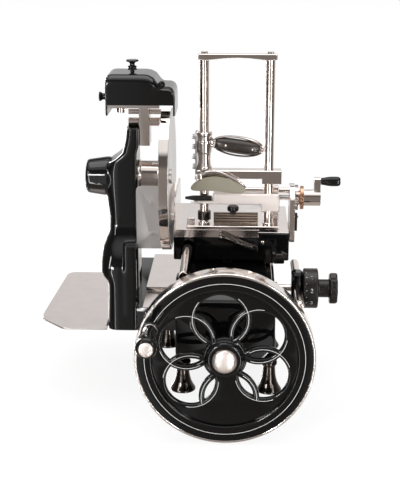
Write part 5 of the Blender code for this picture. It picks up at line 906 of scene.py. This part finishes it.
def applied(piece):
    """Replaces a piece's mesh by what its modifiers make of it."""
    bpy.context.view_layer.update()
    graph = bpy.context.evaluated_depsgraph_get()
    mesh = bpy.data.meshes.new_from_object(piece.evaluated_get(graph))
    piece.modifiers.clear()
    piece.data = mesh
    return piece


def cast_body(name, masses, voxel, rounds, cutters, material, trued=None):
    """Masses merged on a grid of voxel metres, relaxed, trued by a formula, then cut."""
    points, faces, _ = joined(masses)
    piece = cleaned(surface(name, points + WHEEL_CENTRE, faces, [material]))
    grid = piece.modifiers.new("grid", "REMESH")
    grid.mode = "VOXEL"
    grid.voxel_size = voxel
    soften = piece.modifiers.new("soften", "SMOOTH")
    soften.factor = RELAX_FACTOR
    soften.iterations = rounds
    applied(piece)
    if trued is not None:
        places = np.empty(len(piece.data.vertices) * 3)
        piece.data.vertices.foreach_get("co", places)
        places = trued(places.reshape(-1, 3) - WHEEL_CENTRE) + WHEEL_CENTRE
        piece.data.vertices.foreach_set("co", places.ravel())
        piece.data.update()
    for number, (cutter_points, cutter_faces) in enumerate(cutters):
        tool = cleaned(surface(f"{name}_cut{number}", cutter_points + WHEEL_CENTRE, cutter_faces,
                               [material]))
        step = piece.modifiers.new("cut", "BOOLEAN")
        step.object = tool
        step.operation = "DIFFERENCE"
        step.solver = "EXACT"
        applied(piece)
        bpy.data.objects.remove(tool)
    finished(piece.data, material, CAST_SHARP)
    return piece


print("grid of the column", VOXEL)

# %% The column's masses, its truing and its cuts
KNIFE_DEPTH, KNIFE_HEIGHT = 0.262, 0.274
COLUMN_BACK = 0.3005
COLUMN_LOW, COLUMN_HIGH = -0.024, 0.3735
# height and left edge of the column; height and right edge
TRUNK_LEFT = [(-0.024, -0.2310), (0.035, -0.2290), (0.076, -0.2280), (0.086, -0.2310),
              (0.094, -0.2390), (0.103, -0.2415), (0.122, -0.2415), (0.146, -0.2390),
              (0.161, -0.2340), (0.172, -0.2285), (0.190, -0.2280), (0.209, -0.2295),
              (0.237, -0.2325), (0.255, -0.2360), (0.290, -0.2360), (0.305, -0.2290),
              (0.314, -0.2150), (0.326, -0.2015), (0.343, -0.1970), (0.356, -0.1945),
              (0.3735, -0.1930)]
TRUNK_RIGHT = [(-0.024, -0.1725), (0.327, -0.1725), (0.338, -0.1685), (0.3735, -0.1685)]
TRUNK_FLANK_X = -0.2115
FLANK_DEPTH = 0.022
FLANK_REACH = (0.009, 0.030)
FOOT_FRONT, NECK_SET_BACK = 0.1745, 0.0475
NECK_START, NECK_RUN = 0.096, 0.104
# place along X and radius of the drum's cone, and how near to it a point has to be for truing
DRUM_SLOPE = [(-0.2735, 0.0318), (-0.237, 0.0375)]
DRUM_NEAR = 0.003
DRUM_TRUED = (-0.2690, -0.2440)
# how far relaxing draws an edge in
EDGE_SHRINK = 0.001
# the same for the trunk's front; the foot's block stands right of FOOT_BLOCK_X, under its top
FRONT_NEAR = 0.004
FOOT_BLOCK_X, FOOT_BLOCK_TOP = -0.197, 0.17
FRONT_RIGHT_X = -0.1765
FRONT_TOP = 0.350


def s_curve(share):
    """A share from 0 to 1 that starts and ends level: 3 s^2 - 2 s^3."""
    share = np.clip(share, 0, 1)
    return share * share * (3 - 2 * share)


def trunk_front(height):
    """Depth of the column's front face: the foot's, then an S-curve back to the neck's."""
    return FOOT_FRONT + NECK_SET_BACK * s_curve((height - NECK_START) / NECK_RUN)


def trunk(rows=110, corner_steps=10):
    """The column's trunk as level sections stacked up its height.

    A section runs from its back left corner along the flank, round a quarter ellipse to the
    front face, and round a small right corner to the back. The ellipse ends at TRUNK_FLANK_X.
    """
    height = np.linspace(COLUMN_LOW, COLUMN_HIGH, rows)
    left = np.interp(height, *zip(*TRUNK_LEFT))
    right = np.interp(height, *zip(*TRUNK_RIGHT))
    front = trunk_front(height)
    back, middle = np.full(rows, COLUMN_BACK), np.full(rows, KNIFE_DEPTH)
    reach = np.clip(TRUNK_FLANK_X - left, *FLANK_REACH)
    turn = np.linspace(0, math.pi / 2, corner_steps)
    lines = [(left, back), (left, middle)]
    lines += [(left + reach * (1 - math.cos(angle)), front + FLANK_DEPTH * (1 - math.sin(angle)))
              for angle in turn]
    lines += [(right - 0.0022, front), (right - 0.0006, front + 0.0006), (right, front + 0.0022),
              (right, middle), (right, back)]
    points = np.stack([np.stack([x, y, height], axis=-1) for x, y in lines], axis=1)
    return points.reshape(-1, 3), capped_faces(rows, len(lines))


def trued_column(points):
    """Puts the drum's skin back on its cone and the trunk's front back on its curve.

    A point near the cone's radius R(x), or near the front's depth y(z), moves there by a weight
    that S-curves bring down to 0 towards the fillets and the edges.
    """
    points = points.copy()
    across = points[:, 1] - KNIFE_DEPTH
    rise = points[:, 2] - KNIFE_HEIGHT
    radius = np.hypot(across, rise)
    wanted = np.interp(points[:, 0], *zip(*DRUM_SLOPE))
    weight = (s_curve((points[:, 0] - DRUM_TRUED[0]) / 0.004)
              * s_curve((DRUM_TRUED[1] - points[:, 0]) / 0.012)
              * (np.abs(radius - wanted) < DRUM_NEAR))
    scale = 1 + weight * (wanted / np.maximum(radius, 0.001) - 1)
    points[:, 1] = KNIFE_DEPTH + across * scale
    points[:, 2] = KNIFE_HEIGHT + rise * scale
    front = trunk_front(points[:, 2])
    left = np.interp(points[:, 2], *zip(*TRUNK_LEFT)) + EDGE_SHRINK
    above_block = 10 * (points[:, 2] > FOOT_BLOCK_TOP)
    flat = (s_curve((points[:, 0] - np.maximum(TRUNK_FLANK_X, left + 0.012)) / 0.005)
            * s_curve((FOOT_BLOCK_X - points[:, 0]) / 0.004 + above_block)
            * s_curve((FRONT_RIGHT_X - points[:, 0]) / 0.003)
            * (np.abs(points[:, 1] - front) < FRONT_NEAR) * (points[:, 2] < FRONT_TOP))
    points[:, 1] += flat * (front - points[:, 1])
    return points


column_masses = [
    trunk(),
    turned([(0, -0.0005), (0.0318, -0.0005), (0.0375, 0.036), (0.0385, 0.046), (0.030, 0.060),
            (0, 0.060)], 0.0055, (-0.273, KNIFE_DEPTH, KNIFE_HEIGHT), TO_RIGHT),
    # the foot's block, the step at its right and the ledge that it stands on
    crate((-0.1950, 0.1742, 0.020), (-0.1722, 0.240, 0.158)),
    crate((-0.176, 0.1755, 0.039), (-0.1680, 0.197, 0.157)),
    crate((-0.2305, 0.2265, -0.0305), (-0.1735, COLUMN_BACK, 0.0)),
]
column_cutters = [
    # all behind the back's plane, all before the ledge, the foot's and the neck's hollow
    crate((-0.30, 0.300, -0.06), (-0.10, 0.36, 0.42)),
    crate((-0.30, 0.10, -0.06), (-0.10, 0.226, -0.012)),
    crate((-0.221, 0.182, -0.040), (-0.180, 0.31, 0.070)),
    crate((-0.221, 0.2268, 0.060), (-0.180, 0.31, 0.302)),
    # the bores of the knife's shaft and of the cross shaft
    rod(0.0089, 0.09, (-0.165, KNIFE_DEPTH, KNIFE_HEIGHT), TO_LEFT),
    rod(0.0084, 0.03, (-0.165, 0.250, 0.0), TO_LEFT),
]
column = cast_body("column_casting_look", column_masses, VOXEL, RELAX_ROUNDS, column_cutters,
                   "enamel", trued_column)
stands_for(column, "column_casting")
print("column faces", len(column.data.polygons))

# %% [markdown]
# ## The sharpener's hood
# On the real machine this is a thin casting over the two stones, with a round brow and a lower
# right shoulder. A bevelled box would keep flat faces and even edges, so it is made like the
# column: one relaxed mass whose top rounds forward, then hollowed and bored.

# %% Hood
HOOD_VOXEL = 0.0016
HOOD_ROUNDS = 7
HOOD_FRONT, HOOD_BACK, HOOD_BROW = 0.2148, 0.3092, 0.0165
STONE_HEIGHT = 0.4285
hood_outline = [(-0.229, 0.398), (-0.229, 0.466), (-0.2272, 0.4715), (-0.2225, 0.4745),
                (-0.217, 0.4755), (-0.158, 0.4755), (-0.148, 0.4742), (-0.1385, 0.4690),
                (-0.1325, 0.4610), (-0.1285, 0.4560), (-0.1240, 0.4535), (-0.1100, 0.4530),
                (-0.1035, 0.4500), (-0.0995, 0.4430), (-0.0985, 0.4330), (-0.0985, 0.398)]
hood_points, hood_faces = cast_plate(hood_outline, HOOD_FRONT, HOOD_BACK, HOOD_BROW)
# the right shoulder's top falls by half of the way that it stands forward
shoulder = (hood_points[:, 0] > -0.1385) & (hood_points[:, 2] > 0.430)
hood_points[:, 2] -= np.where(shoulder, np.clip(0.2258 - hood_points[:, 1], 0, 1) * 0.5, 0)
hood_cutters = [
    # all under the rim, the wide hollow over it, the left and the right hollow above that
    crate((-0.25, 0.20, 0.38), (-0.08, 0.33, 0.400)),
    crate((-0.225, 0.20, 0.39), (-0.1025, 0.33, 0.4197)),
    crate((-0.225, 0.2235, 0.41), (-0.1540, 0.305, 0.4705)),
    crate((-0.225, 0.2190, 0.41), (-0.1025, 0.305, 0.4460)),
    # the bores of the top knob and of the side knob
    rod(0.0046, 0.02, (-0.1815, KNIFE_DEPTH, 0.462), UPWARD),
    rod(0.0044, 0.02, (-0.24, KNIFE_DEPTH, STONE_HEIGHT), TO_RIGHT),
]
hood = cast_body("sharpener_housing_look", [(hood_points, hood_faces)], HOOD_VOXEL, HOOD_ROUNDS,
                 hood_cutters, "enamel")
stands_for(hood, "sharpener_housing")
print("hood faces", len(hood.data.polygons))

# %% [markdown]
# ## Turned fittings
# Knobs, feet, lacquered grips and the hub's dome were turned on a lathe, and are turned here from
# profiles, each point a radius and a distance from the start. A Boolean of cylinders would give
# the same size, but none of the soft hollows that a lathe tool leaves. A profile that starts away
# from the axis is closed round a bore.

# %% Turned pieces


def dome_profile(radius, edge, rise, steps=10):
    """A low dome: a straight edge, then a quarter ellipse up to the axis."""
    angle = np.linspace(0, math.pi / 2, steps)
    return [(0, 0), (radius * 0.97, 0), (radius, 0.0006)] + [
        (radius * math.cos(a), edge + rise * math.sin(a)) for a in angle]


FOOT_PROFILE = [(0, 0), (0.0248, 0), (0.0255, 0.0012), (0.0255, 0.0038), (0.0240, 0.0062),
                (0.0205, 0.0120), (0.0172, 0.0190), (0.0148, 0.0275), (0.0132, 0.0370),
                (0.0126, 0.0460), (0.0126, 0.0548), (0.0152, 0.0566), (0.0160, 0.0590),
                (0.0160, 0.0622), (0, 0.0622)]
TURNED = {
    # node: finish, start, direction, profile, rounding
    "flywheel_hub_cap": ("satin", (0, -0.0023, 0), TO_FRONT, dome_profile(0.0222, 0.003, 0.0095),
                         0.0),
    "handle_spindle": ("satin", HANDLE_PLACE, TO_FRONT,
                       [(0, -0.016), (0.006, -0.016), (0.006, 0.0043), (0.012, 0.0043),
                        (0.0125, 0.006), (0.012, 0.008), (0.006, 0.008), (0.006, 0.0968),
                        (0.0130, 0.0968), (0.0130, 0.0985), (0.0112, 0.0998), (0.0060, 0.1004),
                        (0, 0.1006)], 0.0004),
    "handle_grip": ("lacquer", HANDLE_PLACE, TO_FRONT,
                    [(0.0064, 0.0084), (0.0100, 0.0084), (0.0118, 0.0092), (0.0127, 0.0120),
                     (0.0122, 0.0170), (0.0112, 0.0240), (0.0116, 0.0330), (0.0130, 0.0450),
                     (0.0150, 0.0580), (0.0174, 0.0700), (0.0190, 0.0790), (0.0195, 0.0855),
                     (0.0190, 0.0905), (0.0172, 0.0945), (0.0147, 0.0966), (0.0140, 0.0962),
                     (0.0135, 0.0950), (0.0064, 0.0950)], 0.0010),
    "grinding_knob": ("lacquer", (-0.229, KNIFE_DEPTH, STONE_HEIGHT), TO_LEFT,
                      [(0, -0.006), (0.0040, -0.006), (0.0040, 0.0008), (0.0088, 0.0008),
                       (0.0090, 0.0026), (0.0066, 0.0046), (0.0058, 0.0075), (0.0064, 0.0105),
                       (0.0088, 0.0135), (0.0088, 0.0165), (0, 0.0165)], 0.0006),
    "feed_crank_grip": ("lacquer", (0.1814, 0.290, 0.260), TO_RIGHT,
                        [(0.0034, 0), (0.0066, 0), (0.0070, 0.0030), (0.0076, 0.0070),
                         (0.0088, 0.0130), (0.0095, 0.0200), (0.0095, 0.0310), (0.0088, 0.0350),
                         (0.0072, 0.0376), (0.0034, 0.0376)], 0.0008),
}
FOOT_PLACES = {"foot_front_left": (-0.088, 0.250), "foot_front_right": (0.086, 0.250),
               "foot_rear_left": (-0.134, 0.490), "foot_rear_right": (0.088, 0.490)}
for node, (foot_x, foot_y) in FOOT_PLACES.items():
    TURNED[node] = ("dark_nickel", (foot_x, foot_y, -WHEEL_CENTRE[2]), UPWARD, FOOT_PROFILE, 0.0008)
for node, (finish_name, start, toward, profile, rounding) in TURNED.items():
    has_bore = profile[0][0] > 0
    shown(node, {finish_name: [turned(profile, rounding, start, toward, closed=has_bore)]})
print("turned pieces", len(TURNED))

# %% [markdown]
# ## The dial and the sharpener's top knob
# The slice thickness dial is a dark drum with engraved, paint-filled numbers and a knob with
# eight finger hollows. The hollows are a wave on the radius of a turned surface, and the numbers
# are narrow ribbons bent round the drum, so no text object or image is needed. The top knob of
# the sharpener is turned too, and is joined to the block that carries the stones' spindles.

# %% The dial with its numbers, and the sharpener's top knob
DIAL_PLACE = np.array((0.144, 0.147, 0.0885))
DIAL_RADIUS = 0.0375
SCALLOPS = 8


def scallop(turn, radius, along):
    """Wave of the dial's knob: 1 on its drum, and 8 shallow hollows round its rim."""
    depth = 0.055 * (1 - np.cos(SCALLOPS * turn))
    return 1 - depth * ((along > 0.0485) & (radius > 0.018))


dial_profile = smooth_profile([(0.0074, 0), (0.0360, 0), (0.0375, 0.0015), (0.0375, 0.0255),
                               (0.0360, 0.027), (0.0190, 0.027), (0.0170, 0.0290),
                               (0.0170, 0.0470), (0.0190, 0.049), (0.0280, 0.049),
                               (0.0300, 0.0510), (0.0300, 0.0610), (0.0280, 0.0633),
                               (0.0100, 0.0635), (0, 0.0635)], 0.0010)
inner_profile = np.array([(0, 0.0366), (0.0074, 0.0366), (0.0074, 0)])
dial = swept(np.concatenate([dial_profile, inner_profile]), DIAL_PLACE, TO_RIGHT, steps=128,
             wave=scallop)
shown("thickness_dial", {"bronze": [dial]})

DIGITS = {
    "1": [[(-0.3, 0.65), (0.1, 1.0), (0.1, -1.0)]],
    "2": [[(-0.55, 0.55), (-0.3, 0.9), (0.1, 1.0), (0.5, 0.75), (0.5, 0.35), (-0.55, -1.0),
           (0.6, -1.0)]],
    "3": [[(-0.5, 0.75), (-0.1, 1.0), (0.4, 0.8), (0.4, 0.3), (-0.1, 0.05), (0.45, -0.2),
           (0.5, -0.65), (0.1, -1.0), (-0.55, -0.75)]],
}
DIGIT_HALF_HEIGHT = 0.0034
DIGIT_X = 0.0145
DIGIT_TOP = math.radians(50)
DIGIT_STEP = math.radians(39)
MARK_HALF = 0.00045


def on_drum(points, angle):
    """Bends flat points round the dial's drum, angle above the front."""
    turn = angle + points[:, 2] / DIAL_RADIUS
    radius = DIAL_RADIUS - points[:, 1]
    return np.column_stack([points[:, 0] + DIAL_PLACE[0], DIAL_PLACE[1] - radius * np.cos(turn),
                            DIAL_PLACE[2] + radius * np.sin(turn)])


marks = []
for place, digit in enumerate("123"):
    angle = DIGIT_TOP - place * DIGIT_STEP
    for line in DIGITS[digit]:
        path = np.array(line) * DIGIT_HALF_HEIGHT + np.array((DIGIT_X, 0))
        points, faces = ribbon(path, MARK_HALF, 0.0)
        marks.append((on_drum(points, angle), faces))
for tick in range(7):
    angle = DIGIT_TOP - (tick - 1) * DIGIT_STEP / 2
    path = np.array([(0.0040, 0.0), (0.0062 if tick % 2 else 0.0052, 0.0)])
    points, faces = ribbon(path, 0.7 * MARK_HALF, 0.0)
    marks.append((on_drum(points, angle), faces))
dial_marks = built("dial_numbers", {"pinstripe": marks})
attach(dial_marks, "dial")

top_knob = turned([(0, 0.438), (0.0040, 0.438), (0.0040, 0.4796), (0.0088, 0.4796),
                   (0.0092, 0.4812), (0.0070, 0.4832), (0.0086, 0.4848), (0.0084, 0.4864),
                   (0.0050, 0.4880), (0.0044, 0.4905), (0.0062, 0.4935), (0.0120, 0.4955),
                   (0.0125, 0.4970), (0.0105, 0.4985), (0, 0.4990)], 0.0005,
                  (-0.1815, KNIFE_DEPTH, 0), UPWARD)
stem_block = crate((-0.194, 0.250, 0.4246), (-0.150, 0.300, 0.4404))
shown("sharpener_knob", {"lacquer": [top_knob, stem_block]})
print("marks on the dial", len(marks))

# %% [markdown]
# ## The press
# The press is a chromed casting that slides on two rods: a sleeve with collars on the left rod, a
# crossbar, and a thin bow that holds a flat oval grip. The CAD solid gives its crossbar and
# bores. Its arm is cut away and a turned sleeve and a lofted bow take its place. Bow and grip dip
# to the right by a few degrees, as in the photograph. Bevelling the whole solid would have kept
# its thick square arm, which the photograph doesn't show.

# %% Press slide, its bow and its grip
GRIP_MIDDLE = np.array((0.0180, 0.262, 0.3342))
GRIP_DIP = math.radians(8.5)
GRIP_HALF = 0.0435
BOW_HALF = 0.0490
BOW_RISE = 0.0180


def dipped(shape):
    """A shape turned by the grip's dip round the grip's middle, in the plane of the press."""
    points, faces = shape
    x, y, z = (points - GRIP_MIDDLE).T
    cosine, sine = math.cos(GRIP_DIP), math.sin(GRIP_DIP)
    return GRIP_MIDDLE + np.column_stack([x * cosine + z * sine, y, -x * sine + z * cosine]), faces


def bar_along(path, half_width, half_depth, middle, steps=10):
    """A bar of oval section along an open path in the XZ plane, at the depth middle.

    At each place the section is side * half_width * cos(turn) + y * half_depth * sin(turn).
    """
    path = np.asarray(path, float)
    count = len(path)
    side = left_of(path, closed=False)
    turn = np.linspace(0, math.tau, steps, endpoint=False)
    width = np.broadcast_to(half_width, (count,))[:, None]
    points = np.stack([path[:, 0:1] + side[:, 0:1] * width * np.cos(turn),
                       np.tile(half_depth * np.sin(turn) + middle, (count, 1)),
                       path[:, 1:2] + side[:, 1:2] * width * np.cos(turn)], axis=-1)
    return points.reshape(-1, 3), capped_faces(count, steps)


def carved_copy(node, cutters):
    """A merged copy of a CAD node's mesh with closed cutters taken out, as points and faces."""
    holder = in_scene(node + "_copy", merged_mesh(node, node + "_copy"))
    for number, (points, faces) in enumerate(cutters):
        tool = cleaned(surface(f"{node}_tool{number}", points + WHEEL_CENTRE, faces, ["nickel"]))
        step = holder.modifiers.new("cut", "BOOLEAN")
        step.object = tool
        step.solver = "EXACT"
        applied(holder)
        bpy.data.objects.remove(tool)
    points = np.array([vertex.co[:] for vertex in holder.data.vertices]) - WHEEL_CENTRE
    faces = [list(face.vertices) for face in holder.data.polygons]
    bpy.data.objects.remove(holder)
    return points, faces


slide_copy = carved_copy("press_slide", [crate((-0.0625, 0.24, 0.2895), (0.072, 0.285, 0.37))])
sleeve = turned([(0.0094, 0.2892), (0.0150, 0.2892), (0.0150, 0.2940), (0.0125, 0.2975),
                 (0.0118, 0.3080), (0.0124, 0.3200), (0.0140, 0.3235), (0.0140, 0.3420),
                 (0.0126, 0.3450), (0.0126, 0.3540), (0.0152, 0.3560), (0.0152, 0.3610),
                 (0.0140, 0.3620), (0.0094, 0.3620)], 0.0008,
                (-0.0455, GRIP_MIDDLE[1], 0), UPWARD, closed=True)
angles = np.linspace(math.radians(166), math.radians(-166), 64)
bow_path = np.column_stack([GRIP_MIDDLE[0] + BOW_HALF * np.cos(angles),
                            GRIP_MIDDLE[2] + BOW_RISE * np.sin(angles)])
# the bow is widest at its upper right, where a Gauss curve doubles its width
bow_width = 0.0018 + 0.0018 * np.exp(-((angles - math.radians(40)) / 0.6) ** 2)
bow = dipped(bar_along(bow_path, bow_width, 0.0055, GRIP_MIDDLE[1]))
STAYS = [[(-0.0345, 0.3530), (-0.0330, 0.3500), (-0.0308, 0.3477), (-0.0280, 0.3458)],
         [(-0.0345, 0.3290), (-0.0330, 0.3325), (-0.0308, 0.3350), (-0.0280, 0.3372)]]
stays = [bar_along(path, 0.0030, 0.0060, GRIP_MIDDLE[1]) for path in STAYS]
core = dipped(rod(0.0034, 0.0945, GRIP_MIDDLE - np.array((0.0475, 0, 0)), TO_RIGHT, steps=16))
press = built("press_slide_look", {"nickel": [slide_copy, sleeve, bow, *stays, core]})
rounded(press, 0.0007, math.radians(50))
stands_for(press, "press_slide")

GRIP_BORE, GRIP_END, GRIP_SWELL, GRIP_POWER = 0.0038, 0.0040, 0.0102, 0.62
grip_shape = np.array([(GRIP_BORE, 0.0)] + [
    (GRIP_END + GRIP_SWELL * math.sin(a) ** GRIP_POWER, GRIP_HALF * (1 - math.cos(a)))
    for a in np.linspace(0, math.pi, 25)] + [(GRIP_BORE, 2 * GRIP_HALF)])
grip = swept(grip_shape, GRIP_MIDDLE - np.array((GRIP_HALF, 0, 0)), TO_RIGHT, closed=True, steps=48)
RIVETS = [(-0.0227, 0.0001), (0.0290, 0.0009)]  # place along the grip, depth
rivets = [swept(dome_profile(0.0022, 0.0008, 0.0012), GRIP_MIDDLE + np.array((x, y - 0.0128, 0)),
                TO_FRONT, steps=20) for x, y in RIVETS]
shown("press_grip", {"horn": [dipped(grip)], "nickel": [dipped(rivet) for rivet in rivets]})
print("press faces", len(press.data.polygons))

# %% [markdown]
# ## The ribbed lever and the bright rod
# The carriage's lever is a turned bar with rings for the fingers, screwed on a short boss. The
# bright rod beside the base is ground steel with a round nose, and the dial's arm meets it. Both
# are bodies of revolution, so a profile each says all, and the lever's rings come from a loop.

# %% The ribbed lever and the bright rod beside the base
LEVER_START = np.array((0.052, 0.2370, 0.138))
LEVER_END = np.array((-0.0150, 0.2370, 0.162))
lever_way = LEVER_END - LEVER_START
lever_length = np.linalg.norm(lever_way)
lever_profile = [(0, -0.0060), (0.0056, -0.0058), (0.0072, -0.0030)]
for rib in range(7):
    along = 0.0020 + 0.0052 * rib
    lever_profile += [(0.0066, along), (0.0078, along + 0.0012), (0.0078, along + 0.0034),
                      (0.0066, along + 0.0046)]
lever_profile += [(0.0064, 0.0420), (0.0070, 0.0520), (0.0078, 0.0600), (0.0080, 0.0660),
                  (0.0068, 0.0700), (0.0034, lever_length + 0.0005), (0, lever_length + 0.0008)]
lever_bar = turned(lever_profile, 0.0006, LEVER_START, lever_way, steps=48)
lever_boss = turned([(0, 0), (0.0072, 0), (0.0080, 0.0010), (0.0080, 0.0156), (0.0030, 0.0156),
                     (0.0030, 0.0215), (0, 0.0215)], 0.0005,
                    LEVER_START + np.array((0, -0.0070, 0)), TO_BACK, steps=40)
lever = shown("carriage_lever", {"dark_nickel": [lever_bar, lever_boss]})

cam_bar = turned([(0, 0), (0.0052, 0), (0.0078, 0.0060), (0.00825, 0.0120), (0.00825, 0.2560),
                  (0.0060, 0.2620), (0, 0.2640)], 0.0012, (0.134, 0.045, DIAL_PLACE[2]), TO_BACK,
                 steps=48)
cam_arm = turned([(0, 0), (0.0110, 0), (0.0110, 0.0040), (0.0072, 0.0052), (0.0065, 0.0080),
                  (0.0065, 0.0420), (0, 0.0420)], 0.0006,
                 (0.0913, DIAL_PLACE[1], DIAL_PLACE[2]), TO_RIGHT, steps=40)
cam_rod = shown("cam_rod", {"warm_steel": [cam_bar, cam_arm]})
print("lever and rod faces", len(lever.data.polygons), len(cam_rod.data.polygons))

# %% [markdown]
# ## The leaf lever and the carriage's bright top
# The leaf is a pressed olive plate with a thick chromed rim along its upper edge. It swings on a
# pin of the press. A bevelled copy of its solid would be one flat plate of one colour. So the
# plate is a smoothed outline with a chamfer, and the rim a bar of oval section that thins towards
# its tip. Right of the rods the carriage's top is faced bright. That is a thin sheet here, and a
# screw head stands under it on the carriage's front.

# %% Leaf lever, bright top and screw
LEAF_PIN_PLACE = (-0.0559, 0.2480, 0.278)
LEAF_OUTLINE = [(-0.0720, 0.2570), (-0.0665, 0.2650), (-0.0560, 0.2730), (-0.0436, 0.2775),
                (-0.0245, 0.2805), (-0.0053, 0.2778), (0.0182, 0.2690), (0.0321, 0.2600),
                (0.0354, 0.2530), (0.0291, 0.2465), (0.0077, 0.2469), (-0.0244, 0.2519),
                (-0.0500, 0.2512), (-0.0680, 0.2515)]
LEAF_RIM = [(-0.0559, 0.2780), (-0.0500, 0.2825), (-0.0430, 0.2858), (-0.0351, 0.2874),
            (-0.0245, 0.2878), (-0.0139, 0.2862), (-0.0030, 0.2822), (0.0075, 0.2773),
            (0.0175, 0.2720), (0.0267, 0.2662), (0.0345, 0.2590)]
LEAF_RIM_HALF = [0.0036, 0.0040, 0.0042, 0.0042, 0.0040, 0.0037, 0.0034, 0.0030, 0.0026, 0.0022,
                 0.0014]


def chamfered_plate(outline, back, front, chamfer, order=(0, 2, 1)):
    """A plate between two depths whose front face is drawn in by chamfer.

    A point of the outline and its depth are put into x, y and z in the given order.
    """
    outline = np.asarray(outline, float)
    area = np.sum(outline[:, 0] * np.roll(outline[:, 1], -1)
                  - outline[:, 1] * np.roll(outline[:, 0], -1))
    inward = left_of(outline, closed=True) * np.sign(area)
    step_back = np.sign(back - front) * chamfer
    rows = [(outline, back), (outline, front + step_back), (outline + inward * chamfer, front)]
    points = np.concatenate([np.column_stack([ring, np.full(len(ring), depth)])[:, list(order)]
                             for ring, depth in rows])
    return points, capped_faces(len(rows), len(outline))


leaf_plate = chamfered_plate(relaxed_outline(LEAF_OUTLINE, 2), 0.2414, 0.2378, 0.0006)
rim_share = np.linspace(0, len(LEAF_RIM) - 1, 41)
rim_steps = np.arange(len(LEAF_RIM))
rim_line = np.column_stack([np.interp(rim_share, rim_steps, line) for line in zip(*LEAF_RIM)])
leaf_rim = bar_along(rim_line, np.interp(rim_share, rim_steps, LEAF_RIM_HALF), 0.0027, 0.2388,
                     steps=14)
leaf_eye = swept(dome_profile(0.0070, 0.0112, 0.0014), LEAF_PIN_PLACE, TO_FRONT, steps=40)
leaf = shown("leaf_lever", {"olive": [leaf_plate], "nickel": [leaf_rim, leaf_eye]})

top_sheet = chamfered_plate([(0.0614, 0.2485), (0.0622, 0.2475), (0.1187, 0.2475),
                             (0.1195, 0.2485), (0.1195, 0.4480), (0.1187, 0.4490),
                             (0.0622, 0.4490), (0.0614, 0.4480)], 0.1658, 0.1672, 0.0003,
                            order=(0, 1, 2))
slot_screw = swept(dome_profile(0.0032, 0.0012, 0.0010), (0.0685, 0.2463, 0.1475), TO_FRONT,
                   steps=28)
bright_top = built("carriage_bright_top", {"warm_steel": [top_sheet, slot_screw]})
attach(bright_top, frame["nodes"]["carriage_casting"]["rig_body"])
print("leaf faces", len(leaf.data.polygons))
